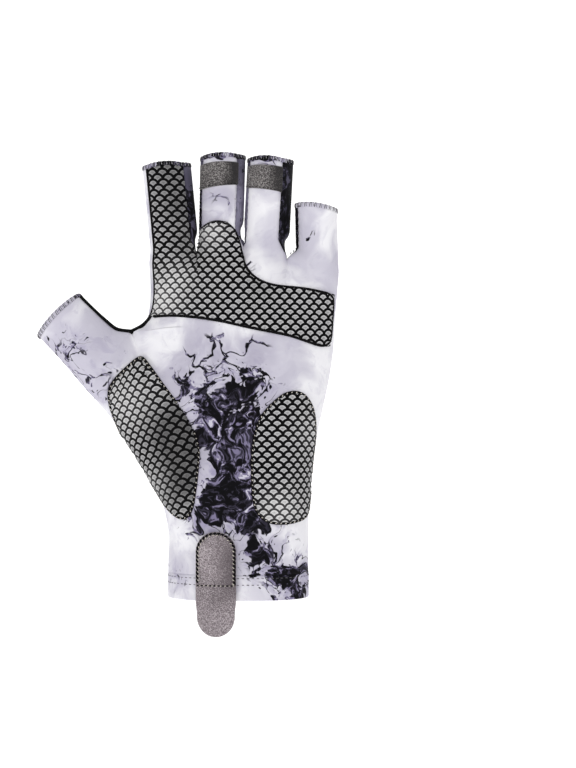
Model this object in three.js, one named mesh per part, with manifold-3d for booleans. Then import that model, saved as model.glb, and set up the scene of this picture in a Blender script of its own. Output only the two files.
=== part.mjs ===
// A fishing glove for the left hand, open at the fingertips and filled out as a hand fills it.
// The palm faces -Y. X runs from the thumb to the little finger and Z from the cuff to the fingertips.
// All lengths are in millimetres, and the origin is the middle of the wrist opening.
import * as THREE from 'three';
import { mergeVertices } from 'three/addons/utils/BufferGeometryUtils.js';
import Module from 'manifold-3d';

// Hand sizes
const wristWidth = 66.8;
const wristDepth = 42;
const palmLength = 166.4;
const palmDepth = 38;
const thenarRise = 6.5;
const heelRise = 3.5;

// Finger sizes. A width is taken at the opening, and a reach from the middle crotch to the opening.
const indexWidth = 22.8;
const middleWidth = 21.2;
const ringWidth = 21.6;
const littleWidth = 20.2;
const indexReach = 35.5;
const middleReach = 39.6;
const ringReach = 38.2;
const littleReach = 16;
const fingerDepth = 20;
const fingerCurl = 4;

// Thumb sizes. The splay is measured from the fingers' direction. The height of the crotch above
// the cuff is a share of palmLength, so that the thumb moves with the palm.
const thumbWidth = 27.5;
const thumbDepth = 25;
const thumbReach = 27.5;
const thumbHeightShare = 0.7512;
const thumbForward = 17;
const thumbSplay = THREE.MathUtils.degToRad(46);

// Cloth and trims
const fabricWall = 1.2;
const seamGap = 0.5;
const hemHeight = 12;
const hemWall = 1.9;
const bindingHeight = 2.6;
const bindingWall = 1.7;
const bindingProud = 0.3;
const pipingDiameter = 1.4;
const pipingClearance = 0.4;
const trimGap = 0.4;
const gripThickness = 0.8;
const bandThickness = 1.0;
const bandHeight = 11;
const bandDrop = 2;

// Pull tab at the cuff
const tabWidth = 18.8;
const tabLength = 48.6;
const tabOverhang = 16.4;
const tabThickness = 2.4;

const fabricColour = 0xd9d6e2;
const sidePanelColour = 0x33323c;
const gripColour = 0x6f6f6c;
const suedeColour = 0x8a8281;
const blackColour = 0x141414;

// Boundary lines run up the hand: 0 thumb edge, 1 thumb and index, 2 index and middle,
// 3 middle and ring, 4 ring and little, 5 little edge. Strip k lies between lines k and k + 1.
const THUMB = 0;
const INDEX = 1;
const LITTLE = 4;
const LAST_LINE = 5;

// One row per finger. As shares of its width: how wide its root is, where it stands on the root,
// how far its tip leans, its opening's slope, and how far each palm seam is in from its outline.
const fingerShares = {
  index: { root: 0.893, stand: 0, lean: -0.17, slope: 0.05, leftSeam: 0.105, rightSeam: 0.15 },
  middle: { root: 1.045, stand: 0, lean: 0.06, slope: 0.03, leftSeam: 0.03, rightSeam: 0.15 },
  ring: { root: 0.958, stand: 0, lean: 0.105, slope: -0.03, leftSeam: 0.03, rightSeam: 0.22 },
  little: { root: 1.21, stand: 0.094, lean: -0.025, slope: -0.13, leftSeam: 0.03, rightSeam: 0 },
};
const fingers = {
  1: { name: 'index', width: indexWidth, reach: indexReach, ...fingerShares.index },
  2: { name: 'middle', width: middleWidth, reach: middleReach, ...fingerShares.middle },
  3: { name: 'ring', width: ringWidth, reach: ringReach, ...fingerShares.ring },
  4: { name: 'little', width: littleWidth, reach: littleReach, ...fingerShares.little },
};

// Where the finger roots stand: height as a share of palmLength, for lines 1 to 5.
const knuckleHeights = [0, 0.9435, 0.969, 1, 0.9615, 0.913];
const palmLeftShare = 0.4555;

// The row through the thumb's crotch: X as a share of the palm's width, Z as a share of thumbHeight.
const crotchRow = {
  across: [0, -0.5685, -0.177, 0.034, 0.251, 0.52],
  up: [0, 1, 1.016, 1.024, 1.008, 0.96],
};

// The cuff row: X as a share of the wrist's width.
const cuffAcross = [-0.5, -0.28, -0.1, 0.08, 0.27, 0.5];

// Rows from the cuff to the thumb's crotch. across and up give, for each line, how far it has gone
// from its place at the cuff to its place at the crotch row. front and back are shares of the depth
// named by size, thenar and heel scale the two pads, blend turns a line's section from the hand's
// into a finger's, and forward is the share of thumbForward that lines 0 and 1 have come out.
const lowerRows = [
  {
    across: [0, 0, 0, 0, 0, 0], up: [0, 0, 0, 0, 0, 0],
    size: wristDepth, front: 0.5, back: 0.5, thenar: 0, heel: 0,
    blend: [0, 0], forward: [0, 0],
  },
  {
    across: [0, 0.01, 0.02, 0.02, 0.01, 0], up: [0.126, 0.096, 0.095, 0.094, 0.095, 0.1],
    size: wristDepth, front: 0.495, back: 0.495, thenar: 0, heel: 0,
    blend: [0, 0], forward: [0, 0],
  },
  {
    across: [0, 0.03, 0.05, 0.05, 0.03, 0], up: [0.317, 0.24, 0.236, 0.234, 0.238, 0.25],
    size: wristDepth, front: 0.485, back: 0.475, thenar: 0.1, heel: 0.25,
    blend: [0, 0], forward: [0, 0],
  },
  {
    across: [0.08, 0.14, 0.15, 0.15, 0.1, 0.02], up: [0.475, 0.36, 0.355, 0.352, 0.357, 0.38],
    size: palmDepth, front: 0.53, back: 0.505, thenar: 0.5, heel: 0.7,
    blend: [0, 0], forward: [0.04, 0],
  },
  {
    across: [0.25, 0.29, 0.28, 0.28, 0.2, 0.07], up: [0.6, 0.48, 0.455, 0.453, 0.457, 0.49],
    size: palmDepth, front: 0.525, back: 0.48, thenar: 0.85, heel: 1,
    blend: [0, 0], forward: [0.13, 0.04],
  },
  {
    across: [0.5, 0.5, 0.48, 0.48, 0.42, 0.4], up: [0.757, 0.65, 0.63, 0.625, 0.63, 0.65],
    size: palmDepth, front: 0.51, back: 0.455, thenar: 1, heel: 1,
    blend: [0.1, 0], forward: [0.27, 0.12],
  },
  {
    across: [0.73, 0.7, 0.68, 0.68, 0.65, 0.68], up: [0.88, 0.8, 0.76, 0.75, 0.76, 0.78],
    size: palmDepth, front: 0.485, back: 0.44, thenar: 0.85, heel: 0.8,
    blend: [0.4, 0.12], forward: [0.4, 0.22],
  },
  {
    across: [0.88, 0.87, 0.85, 0.85, 0.84, 0.88], up: [0.95, 0.915, 0.885, 0.88, 0.885, 0.9],
    size: palmDepth, front: 0.455, back: 0.425, thenar: 0.6, heel: 0.5,
    blend: [0.75, 0.5], forward: [0.5, 0.31],
  },
  {
    across: [1, 1, 1, 1, 1, 1], up: [1, 1, 1, 1, 1, 1],
    size: palmDepth, front: 0.43, back: 0.415, thenar: 0.35, heel: 0.3,
    blend: [1, 1], forward: [0.6, 0.4],
  },
];

// Rows from the thumb's crotch to the finger roots. edgeAcross and edgeUp carry line 1 round the crotch.
const upperRows = [
  {
    edgeAcross: 0, edgeUp: 0, size: palmDepth, front: 0.43, back: 0.415,
    thenar: 0.35, heel: 0.3, blend: [0, 0], forward: 0.4,
  },
  {
    edgeAcross: 0.566, edgeUp: 0.103, size: palmDepth, front: 0.415, back: 0.41,
    thenar: 0.2, heel: 0.22, blend: [0, 0.02], forward: 0.3,
  },
  {
    edgeAcross: 0.949, edgeUp: 0.281, size: palmDepth, front: 0.4, back: 0.405,
    thenar: 0.1, heel: 0.15, blend: [0.05, 0.1], forward: 0.2,
  },
  {
    edgeAcross: 1.07, edgeUp: 0.575, size: palmDepth, front: 0.375, back: 0.395,
    thenar: 0, heel: 0.08, blend: [0.4, 0.45], forward: 0.08,
  },
  {
    edgeAcross: 1, edgeUp: 1, size: palmDepth, front: 0.35, back: 0.38,
    thenar: 0, heel: 0, blend: [1, 1], forward: 0,
  },
];

// Rows from the thumb's crotch to its opening: along as shares of thumbReach, across of thumbWidth,
// for the edge towards the index finger (top) and for the outer edge (low).
const thumbRows = [
  {
    topAlong: 0, topAcross: 0, lowAlong: -0.233, lowAcross: 1.265,
    front: 0.56, back: 0.52, forward: [0.6, 0.4],
  },
  {
    topAlong: 0.2, topAcross: 0.135, lowAlong: 0.02, lowAcross: 1.238,
    front: 0.53, back: 0.5, forward: [0.68, 0.56],
  },
  {
    topAlong: 0.44, topAcross: 0.157, lowAlong: 0.32, lowAcross: 1.205,
    front: 0.5, back: 0.48, forward: [0.79, 0.73],
  },
  {
    topAlong: 0.71, topAcross: 0.16, lowAlong: 0.65, lowAcross: 1.176,
    front: 0.48, back: 0.465, forward: [0.89, 0.87],
  },
  {
    topAlong: 1, topAcross: 0.152, lowAlong: 1, lowAcross: 1.149,
    front: 0.465, back: 0.455, forward: [1, 1],
  },
];

// Where each line stands in the hand's section, from 0 at the thumb edge to 1 at the little edge.
const sectionShares = {
  cuff: [0, 0.22, 0.4, 0.58, 0.77, 1],
  crotch: [0, 0.14, 0.37, 0.57, 0.76, 1],
  knuckle: [0, 0.05, 0.27, 0.52, 0.75, 1],
};
const sectionPower = 2.3;
const thenarPlace = { at: 0.2, spread: 0.16 };
const heelPlace = { at: 0.82, spread: 0.14 };

// Creases pressed into the palm side, from one end to the other: X as a share of the palm's width
// and Z of palmLength. The crease's half-width and depth are shares of the palm's width too.
const creases = [
  { name: 'thenar, upper', fromX: -0.37, fromZ: 0.63, toX: -0.185, toZ: 0.42, spread: 0.057, depth: 0.0205 },
  { name: 'thenar, lower', fromX: -0.185, fromZ: 0.42, toX: -0.24, toZ: 0.22, spread: 0.057, depth: 0.0171 },
  { name: 'thumb root', fromX: -0.56, fromZ: 0.74, toX: -0.43, toZ: 0.64, spread: 0.0456, depth: 0.016 },
  { name: 'under the fingers', fromX: -0.2, fromZ: 0.86, toX: 0.4, toZ: 0.8, spread: 0.0685, depth: 0.0103 },
];

// Finger sections, as shares of fingerDepth, at the root and at the opening.
const fingerCrown = { front: { root: 0.52, tip: 0.465 }, back: { root: 0.54, tip: 0.475 } };
const webDepth = 0.27;
const thumbSeam = { front: 0.15, back: 0.26 };
const rimRise = 0.9;
const crotchRounding = 0.22;
const webSag = 0.7;
const thumbTopBulge = 0.4;
const thumbTipForward = 0.3;

// Outlines of the grips on the palm: X as a share of the palm's width, Z as a share of palmLength.
const palmGripOutline = [
  [-0.6, 1.35], [-0.6, 0.79], [-0.338, 0.797], [-0.204, 0.791], [-0.07, 0.78], [0.038, 0.766], [0.279, 0.741],
  [0.45, 0.71], [0.485, 0.712], [0.495, 0.73], [0.511, 0.857],
  [0.36, 0.872], [0.199, 0.879], [0.129, 0.889], [0.064, 0.912], [0.028, 0.948], [0.004, 1.005],
  [-0.02, 1.042], [-0.062, 1.061], [-0.139, 1.063], [-0.18, 1.05], [-0.235, 1.015], [-0.245, 1.35],
];
const thumbGripOutline = [
  [-0.517, 0.679], [-0.578, 0.653], [-0.661, 0.608], [-0.68, 0.564], [-0.652, 0.508], [-0.598, 0.438],
  [-0.514, 0.369], [-0.44, 0.306], [-0.375, 0.257], [-0.3, 0.229], [-0.248, 0.246], [-0.224, 0.306],
  [-0.208, 0.4], [-0.224, 0.463], [-0.277, 0.52], [-0.349, 0.57], [-0.421, 0.621], [-0.482, 0.665],
];
const heelGripOutline = [
  [0.2, 0.555], [0.129, 0.514], [0.094, 0.463], [0.08, 0.4], [0.081, 0.337], [0.094, 0.261],
  [0.153, 0.224], [0.237, 0.216], [0.315, 0.221], [0.366, 0.236], [0.383, 0.3], [0.393, 0.387],
  [0.41, 0.46], [0.4, 0.53], [0.35, 0.575], [0.27, 0.58],
];

// How finely the solids are faceted
const LOWER_STEPS = 11;
const UPPER_STEPS = 7;
const FINGER_STEPS = 7;
const THUMB_STEPS = 7;
const STRIP_STEPS = [6, 5, 5, 5, 5];
const SIDE_STEPS = 4;
const sharpestMitre = 0.25;
const PIPING_STEPS = 44;
const PIPING_SIDES = 6;

const lerp = (a, b, t) => a + (b - a) * t;
const smooth = (t) => t * t * (3 - 2 * t);
const clamp01 = (t) => Math.min(1, Math.max(0, t));

// Catmull-Rom through four values, at t between the two in the middle.
function catmull(before, start, end, after, t) {
  const slopeIn = (end - before) / 2;
  const slopeOut = (after - start) / 2;
  const a = 2 * start - 2 * end + slopeIn + slopeOut;
  const b = 3 * end - 3 * start - 2 * slopeIn - slopeOut;
  return ((a * t + b) * t + slopeIn) * t + start;
}

// The value that a table's rows give at s, from 0 at its first row to 1 at its last.
function along(rows, read, s) {
  const place = clamp01(s) * (rows.length - 1);
  const row = Math.min(Math.floor(place), rows.length - 2);
  const at = (i) => read(rows[Math.min(Math.max(i, 0), rows.length - 1)]);
  return catmull(at(row - 1), at(row), at(row + 1), at(row + 2), place - row);
}

const thumbHeight = thumbHeightShare * palmLength;
const palmWidth = Object.values(fingers).reduce((sum, finger) => sum + finger.width * finger.root, 0);
const thumbAxis = { x: -Math.sin(thumbSplay), z: Math.cos(thumbSplay) };
const thumbSpan = { x: -Math.cos(thumbSplay), z: -Math.sin(thumbSplay) };

// X and Z of a line at the finger roots.
function knucklePlace(line) {
  let x = -palmWidth * palmLeftShare;
  for (let k = INDEX; k < line; k += 1) x += fingers[k].width * fingers[k].root;
  return { x, z: palmLength * knuckleHeights[line] };
}

// X and Z on the thumb, from shares of its reach and width.
function thumbPlace(alongShare, acrossShare) {
  const crotchX = crotchRow.across[1] * palmWidth;
  const out = alongShare * thumbReach;
  const over = acrossShare * thumbWidth;
  return {
    x: crotchX + thumbAxis.x * out + thumbSpan.x * over,
    z: thumbHeight + thumbAxis.z * out + thumbSpan.z * over,
  };
}

// X and Z of a line at the row through the thumb's crotch.
function crotchPlace(line) {
  if (line === 0) return thumbPlace(thumbRows[0].lowAlong, thumbRows[0].lowAcross);
  return { x: crotchRow.across[line] * palmWidth, z: crotchRow.up[line] * thumbHeight };
}

// A row of the hand below the thumb's crotch: its six lines and the depths of its section.
function lowerRow(s) {
  const lines = cuffAcross.map((share, line) => {
    const top = crotchPlace(line);
    return {
      x: lerp(share * wristWidth, top.x, along(lowerRows, (row) => row.across[line], s)),
      z: lerp(0, top.z, along(lowerRows, (row) => row.up[line], s)),
      y: line < 2 ? -thumbForward * along(lowerRows, (row) => row.forward[line], s) : 0,
      blend: line < 2 ? clamp01(along(lowerRows, (row) => row.blend[line], s)) : 0,
      share: lerp(sectionShares.cuff[line], sectionShares.crotch[line], s),
    };
  });
  return { lines, ...sectionDepths(lowerRows, s) };
}

// A row of the hand above the thumb's crotch, where line 0 has gone with the thumb.
function upperRow(s) {
  const lines = cuffAcross.map((_, line) => {
    const low = crotchPlace(line);
    const high = knucklePlace(line);
    const edge = line === 1;
    return {
      x: lerp(low.x, high.x, edge ? along(upperRows, (row) => row.edgeAcross, s) : s),
      z: lerp(low.z, high.z, edge ? along(upperRows, (row) => row.edgeUp, s) : s),
      y: edge ? -thumbForward * along(upperRows, (row) => row.forward, s) : 0,
      blend: edge ? 1 : clamp01(along(upperRows, (row) => row.blend[line === LAST_LINE ? 1 : 0], s)),
      share: lerp(sectionShares.crotch[line], sectionShares.knuckle[line], s),
    };
  });
  return { lines, ...sectionDepths(upperRows, s) };
}

function sectionDepths(rows, s) {
  return {
    front: along(rows, (row) => row.size * row.front, s),
    back: along(rows, (row) => row.size * row.back, s),
    thenar: thenarRise * along(rows, (row) => row.thenar, s),
    heel: heelRise * along(rows, (row) => row.heel, s),
  };
}

// Depth of the hand's section at a share of the way across, on the palm side or on the back.
function handDepth(row, share, palmSide) {
  const round = Math.pow(1 - Math.pow(Math.abs(2 * share - 1), sectionPower), 1 / sectionPower);
  if (!palmSide) return row.back * round;
  const pad = (place) => Math.exp(-(((share - place.at) / place.spread) ** 2));
  return round * (row.front + row.thenar * pad(thenarPlace) + row.heel * pad(heelPlace));
}

// How far the creases press the palm in at X and Z.
function creaseDepth(x, z) {
  return creases.reduce((sum, crease) => {
    const from = new THREE.Vector3(crease.fromX * palmWidth, 0, crease.fromZ * palmLength);
    const to = new THREE.Vector3(crease.toX * palmWidth, 0, crease.toZ * palmLength);
    const at = new THREE.Vector3(x, 0, z);
    const away = new THREE.Line3(from, to).closestPointToPoint(at, true, new THREE.Vector3()).distanceTo(at);
    return sum + palmWidth * crease.depth * Math.exp(-((away / (palmWidth * crease.spread)) ** 2));
  }, 0);
}

// How deep a finger's elliptic section is at t across its strip, from the depths at its middle
// and at the seams to its left and right.
function fingerSectionDepth({ crown, left, right }, t) {
  const place = lerp(-Math.sqrt(1 - (left / crown) ** 2), Math.sqrt(1 - (right / crown) ** 2), t);
  return crown * Math.sqrt(1 - place * place);
}

// Depths of a strip's own finger section at s, from 0 at the root to 1 at the opening. A seam
// starts at the web's depth and ends where it lies on the finger's ellipse.
function fingerSection(strip, s, palmSide) {
  const side = palmSide ? 'front' : 'back';
  if (strip === THUMB) {
    const crown = thumbDepth * along(thumbRows, (row) => row[side], s);
    return { crown, left: 0, right: thumbDepth * thumbSeam[side] };
  }
  const finger = fingers[strip];
  const { root, tip } = fingerCrown[side];
  const crown = fingerDepth * lerp(root, tip, s);
  const opened = smooth(clamp01(s / crotchRounding));
  const seam = (inset) => lerp(fingerDepth * webDepth, crown * Math.sqrt(1 - (1 - 2 * inset) ** 2), opened);
  return { crown, left: seam(finger.leftSeam), right: strip === LITTLE ? 0 : seam(finger.rightSeam) };
}

// The seams to the left and right of a strip above its root, at s from 0 to 1 and beyond.
function seamPlaces(strip, s) {
  if (strip === THUMB) {
    const at = (read) => along(thumbRows, read, s);
    const low = thumbPlace(at((row) => row.lowAlong), at((row) => row.lowAcross));
    const top = thumbPlace(at((row) => row.topAlong), at((row) => row.topAcross));
    return {
      left: { ...low, y: -thumbForward * at((row) => row.forward[0]) },
      right: { ...top, y: -thumbForward * at((row) => row.forward[1]) },
    };
  }
  const finger = fingers[strip];
  const rootLeft = knucklePlace(strip);
  const rootRight = knucklePlace(strip + 1);
  const middle = (rootLeft.x + rootRight.x) / 2 + finger.width * (finger.stand + finger.lean * s);
  const opened = smooth(clamp01(s / crotchRounding));
  const half = finger.width / 2;
  const tip = palmLength + finger.reach;
  const tilt = finger.slope * half;
  const curl = -fingerCurl * s * s;
  return {
    left: {
      x: lerp(rootLeft.x, middle - half + finger.leftSeam * finger.width, opened),
      z: lerp(rootLeft.z, tip - tilt, s),
      y: curl,
    },
    right: {
      x: lerp(rootRight.x, middle + half - finger.rightSeam * finger.width, opened),
      z: lerp(rootRight.z, tip + tilt, s),
      y: curl,
    },
  };
}

// The direction in which a strip's opening faces.
function openingAxis(strip) {
  if (strip === THUMB) return new THREE.Vector3(thumbAxis.x, -thumbTipForward, thumbAxis.z).normalize();
  const { width, reach, lean } = fingers[strip];
  return new THREE.Vector3(lean * width, (-2 * fingerCurl * reach) / palmLength, reach).normalize();
}

// Where the columns of a strip lie across it, closer together towards an outline edge.
function columnShares(strip) {
  const steps = STRIP_STEPS[strip];
  return Array.from({ length: steps + 1 }, (_, i) => {
    const t = i / steps;
    if (strip === THUMB) return 1 - Math.cos((t * Math.PI) / 2);
    if (strip === LITTLE) return Math.sin((t * Math.PI) / 2);
    return t;
  });
}

// A point of the glove's outer surface on a row of the hand.
function handPoint(row, strip, t, palmSide, s) {
  const line = (i) => row.lines[i];
  const start = line(strip);
  const end = line(strip + 1);
  const first = row.upper ? 1 : 0;
  const before = strip > first ? line(strip - 1) : { x: 2 * start.x - end.x, z: 2 * start.z - end.z };
  const after = strip < LITTLE ? line(strip + 2) : { x: 2 * end.x - start.x, z: 2 * end.z - start.z };
  const blend = lerp(start.blend, end.blend, smooth(t));
  const x = lerp(catmull(before.x, start.x, end.x, after.x, t), lerp(start.x, end.x, t), blend);
  const z = lerp(catmull(before.z, start.z, end.z, after.z, t), lerp(start.z, end.z, t), blend);
  const section = fingerSection(strip, 0, palmSide);
  if (strip === INDEX) section.left = lerp(fingerSection(THUMB, 0, palmSide).right, section.left, s);
  const own = fingerSectionDepth(section, t);
  const hand = handDepth(row, lerp(start.share, end.share, t), palmSide);
  const full = lerp(hand, own, blend);
  const depth = palmSide ? full * (1 - creaseDepth(x, z) / row.front) : full;
  return new THREE.Vector3(x, lerp(start.y, end.y, smooth(t)) + (palmSide ? -depth : depth), z);
}

// A point of the glove's outer surface on a row of a finger or of the thumb.
function fingerPoint(strip, s, t, palmSide) {
  const { left, right } = seamPlaces(strip, s);
  const depth = fingerSectionDepth(fingerSection(strip, s, palmSide), t);
  const rise = rimRise * s ** 4 * (1 - (2 * t - 1) ** 2);
  const axis = openingAxis(strip);
  return new THREE.Vector3(
    lerp(left.x, right.x, t) + axis.x * rise,
    lerp(left.y, right.y, t) + (palmSide ? -depth : depth),
    lerp(left.z, right.z, t) + axis.z * rise,
  );
}

// The outer surface as one welded skin of quads, each quad named for the cloth piece it belongs to.
class Skin {
  constructor() {
    this.points = [];
    this.ids = new Map();
    this.quads = [];
    this.piped = new Set();
  }

  point(key, make) {
    if (!this.ids.has(key)) {
      this.ids.set(key, this.points.length);
      this.points.push(make());
    }
    return this.ids.get(key);
  }

  // Lays quads between neighbouring rows of point ids.
  lay(piece, rows, flip = false) {
    for (let r = 0; r + 1 < rows.length; r += 1) {
      for (let i = 0; i + 1 < rows[r].length; i += 1) {
        const corners = [rows[r][i], rows[r][i + 1], rows[r + 1][i + 1], rows[r + 1][i]];
        this.quads.push({ piece, corners: flip ? corners.reverse() : corners });
      }
    }
  }

  // Vertex normals of the whole skin, so that pieces that meet at a seam are thickened alike. The
  // pieces at a vertex count the same, which puts a seam's normal halfway between them.
  normals() {
    const sums = this.points.map(() => new Map());
    for (const { piece, corners } of this.quads) {
      const [a, b, c, d] = corners.map((id) => this.points[id]);
      const face = new THREE.Vector3().subVectors(c, a).cross(new THREE.Vector3().subVectors(d, b));
      for (const id of corners) {
        if (!sums[id].has(piece)) sums[id].set(piece, new THREE.Vector3());
        sums[id].get(piece).add(face);
      }
    }
    return sums.map((pieces) => {
      const normal = new THREE.Vector3();
      for (const sum of pieces.values()) normal.add(sum.normalize());
      return normal.normalize();
    });
  }
}

const skin = new Skin();

// Rows of ids for one side of one strip. A line's points are shared with its neighbour up to the root.
function lineKey(side, line, row, which) {
  const edge = line === 0 || line === LAST_LINE;
  return `${edge ? 'edge' : side} line ${line} ${row} ${which}`;
}

function handRows(strip, palmSide) {
  const side = palmSide ? 'palm' : 'back';
  const rows = [];
  const shares = columnShares(strip);
  const total = LOWER_STEPS + (strip === THUMB ? 0 : UPPER_STEPS);
  for (let r = 0; r <= total; r += 1) {
    const upper = r > LOWER_STEPS;
    const s = upper ? (r - LOWER_STEPS) / UPPER_STEPS : hemShare(r);
    const row = { ...(upper ? upperRow(s) : lowerRow(s)), upper };
    rows.push(shares.map((t, i) => {
      const onLine = i === 0 || i === shares.length - 1;
      const line = i === 0 ? strip : strip + 1;
      const key = onLine ? lineKey(side, line, r, 'hand') : `${side} ${strip} ${r} ${i}`;
      return skin.point(key, () => handPoint(row, strip, t, palmSide, upper ? s : 0));
    }));
  }
  return rows;
}

// The first row is the cuff's edge and the second the top of the hem. The rest share the way evenly.
function hemShare(row) {
  const hemTop = hemHeight / (crotchPlace(3).z * lowerRows[1].up[3]) / (lowerRows.length - 1);
  return row === 0 ? 0 : lerp(hemTop, 1, (row - 1) / (LOWER_STEPS - 1));
}

// Rows of a finger above its root, then one more for the binding at its opening.
function fingerRows(strip, palmSide, root) {
  const side = palmSide ? 'palm' : 'back';
  const shares = columnShares(strip);
  const steps = strip === THUMB ? THUMB_STEPS : FINGER_STEPS;
  const axis = openingAxis(strip);
  const rows = [root];
  for (let r = 1; r <= steps + 1; r += 1) {
    const s = Math.min(r / steps, 1);
    const beyond = r > steps ? bindingHeight : 0;
    rows.push(shares.map((t, i) => {
      const onLine = i === 0 || i === shares.length - 1;
      const line = i === 0 ? strip : strip + 1;
      const key = onLine
        ? lineKey(side, line, `finger ${r}`, `of ${strip}`)
        : `${side} finger ${strip} ${r} ${i}`;
      return skin.point(key, () => fingerPoint(strip, s, t, palmSide).addScaledVector(axis, beyond));
    }));
  }
  return rows;
}

function openingName(strip) {
  return strip === THUMB ? 'thumb_binding' : `${fingers[strip].name}_binding`;
}

// Lays one side of the glove and keeps its rows, which the side pieces follow.
function laySide(palmSide) {
  const panel = palmSide ? 'palm_panel' : 'back_panel';
  const flip = palmSide;
  const kept = {};
  for (let strip = THUMB; strip <= LITTLE; strip += 1) {
    const hand = handRows(strip, palmSide);
    const finger = fingerRows(strip, palmSide, hand[hand.length - 1]);
    skin.lay('wrist_hem', hand.slice(0, 2), !flip);
    skin.lay(panel, hand.slice(1), !flip);
    skin.lay(panel, finger.slice(0, -1), !flip);
    skin.lay(openingName(strip), finger.slice(-2), !flip);
    kept[strip] = { hand, finger };
  }
  return kept;
}

const palmSideRows = laySide(true);
const backSideRows = laySide(false);

// The run of a seam: down the right of one finger, round the crotch and up the left of the next.
function seamRun(sideRows, leftStrip) {
  const last = (row) => row[row.length - 1];
  const left = sideRows[leftStrip].finger.map(last).reverse();
  const next = sideRows[leftStrip + 1];
  const palmPart = leftStrip === THUMB ? next.hand.slice(LOWER_STEPS + 1).map((row) => row[0]) : [];
  return [...left, ...palmPart, ...next.finger.slice(1).map((row) => row[0])];
}

// How far the cloth between two fingers swells out past the seams, at each point of a run.
function sideBulges(leftStrip, count, crotchAt) {
  const leftSteps = crotchAt;
  const rightSteps = count - 1 - crotchAt;
  const left = fingers[leftStrip];
  const leftBulge = left ? left.rightSeam * left.width : thumbTopBulge;
  const right = fingers[leftStrip + 1];
  const rightBulge = right.leftSeam * right.width;
  return Array.from({ length: count }, (_, i) => {
    const away = i < crotchAt ? (crotchAt - i) / leftSteps : (i - crotchAt) / rightSteps;
    const opened = smooth(clamp01(away / (crotchRounding * 1.4)));
    return lerp(-webSag, i < crotchAt ? leftBulge : rightBulge, opened);
  });
}

// Lays the cloth between the palm seam and the back seam of two neighbouring fingers.
function layBetween(leftStrip, pieceAt) {
  const front = seamRun(palmSideRows, leftStrip);
  const back = seamRun(backSideRows, leftStrip);
  const steps = leftStrip === THUMB ? THUMB_STEPS : FINGER_STEPS;
  const crotchAt = steps + 1;
  const bulges = sideBulges(leftStrip, front.length, crotchAt);
  const rows = front.map((frontId, i) => {
    const a = skin.points[front[Math.max(i - 1, 0)]];
    const b = skin.points[front[Math.min(i + 1, front.length - 1)]];
    const run = new THREE.Vector2(b.x - a.x, b.z - a.z).normalize();
    const outward = new THREE.Vector3(-run.y, 0, run.x);
    return Array.from({ length: SIDE_STEPS + 1 }, (_, j) => {
      if (j === 0) return frontId;
      if (j === SIDE_STEPS) return back[i];
      const across = j / SIDE_STEPS;
      return skin.point(`between ${leftStrip} ${i} ${j}`, () =>
        new THREE.Vector3()
          .lerpVectors(skin.points[frontId], skin.points[back[i]], across)
          .addScaledVector(outward, bulges[i] * Math.sin(Math.PI * across)));
    });
  });
  for (let i = 0; i + 1 < rows.length; i += 1) {
    const piece = pieceAt(i, rows.length - 2, crotchAt);
    skin.lay(piece, [rows[i], rows[i + 1]], true);
  }
  return front;
}

// The strip beside the index finger carries on round the crotch as the thumb's gusset.
const pipedSeam = layBetween(THUMB, (i, last, crotchAt) => {
  if (i === 0) return openingName(THUMB);
  if (i === last) return openingName(INDEX);
  return i <= crotchAt + 1 ? 'thumb_gusset' : 'index_side_strip';
});
for (const id of pipedSeam) skin.piped.add(id);
for (let strip = INDEX; strip < LITTLE; strip += 1) {
  const name = `${fingers[strip].name}_${fingers[strip + 1].name}_fourchette`;
  layBetween(strip, (i, last) => {
    if (i === 0) return openingName(strip);
    if (i === last) return openingName(strip + 1);
    return name;
  });
}

const skinNormals = skin.normals();

function geometryOf(positions, triangles) {
  const geometry = new THREE.BufferGeometry();
  const values = positions.flatMap((point) => point.toArray());
  geometry.setAttribute('position', new THREE.Float32BufferAttribute(values, 3));
  geometry.setIndex(triangles.flat());
  geometry.computeVertexNormals();
  return geometry;
}

// The edges of a set of quads that only one quad uses, in that quad's direction.
function borderEdges(quads) {
  const edges = new Map();
  for (const { corners } of quads) {
    corners.forEach((from, i) => {
      const to = corners[(i + 1) % corners.length];
      if (edges.has(`${to} ${from}`)) edges.delete(`${to} ${from}`);
      else edges.set(`${from} ${to}`, [from, to]);
    });
  }
  return [...edges.values()];
}

// Turns a cloth piece into a closed sheet between two distances from the skin. Its border draws
// back from each seam by half the seam's gap, or by the piping's room where the seam is piped.
function clothSheet(piece, outer, inner) {
  const quads = skin.quads.filter((quad) => quad.piece === piece);
  const border = borderEdges(quads);
  const inward = new Map();
  for (const [from, to] of border) {
    const run = new THREE.Vector3().subVectors(skin.points[to], skin.points[from]).normalize();
    for (const id of [from, to]) {
      const step = new THREE.Vector3().crossVectors(skinNormals[id], run);
      inward.set(id, (inward.get(id) || []).concat(step));
    }
  }
  const places = new Map();
  const positions = [];
  for (const id of new Set(quads.flatMap((quad) => quad.corners))) {
    const place = skin.points[id].clone();
    if (inward.has(id)) {
      const room = skin.piped.has(id) ? pipingDiameter / 2 + pipingClearance : seamGap / 2;
      const [a, b = a] = inward.get(id);
      const mitre = new THREE.Vector3().addVectors(a, b).normalize();
      place.addScaledVector(mitre, room / Math.max(mitre.dot(a), sharpestMitre));
    }
    places.set(id, positions.length);
    positions.push(place.clone().addScaledVector(skinNormals[id], outer));
    positions.push(place.clone().addScaledVector(skinNormals[id], inner));
  }
  const triangles = [];
  for (const { corners } of quads) {
    const [a, b, c, d] = corners.map((id) => places.get(id));
    triangles.push([a, b, c], [a, c, d], [a + 1, c + 1, b + 1], [a + 1, d + 1, c + 1]);
  }
  for (const [from, to] of border) {
    const a = places.get(from);
    const b = places.get(to);
    triangles.push([a, a + 1, b + 1], [a, b + 1, b]);
  }
  return geometryOf(positions, triangles);
}

const wasm = await Module();
wasm.setup();

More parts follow.
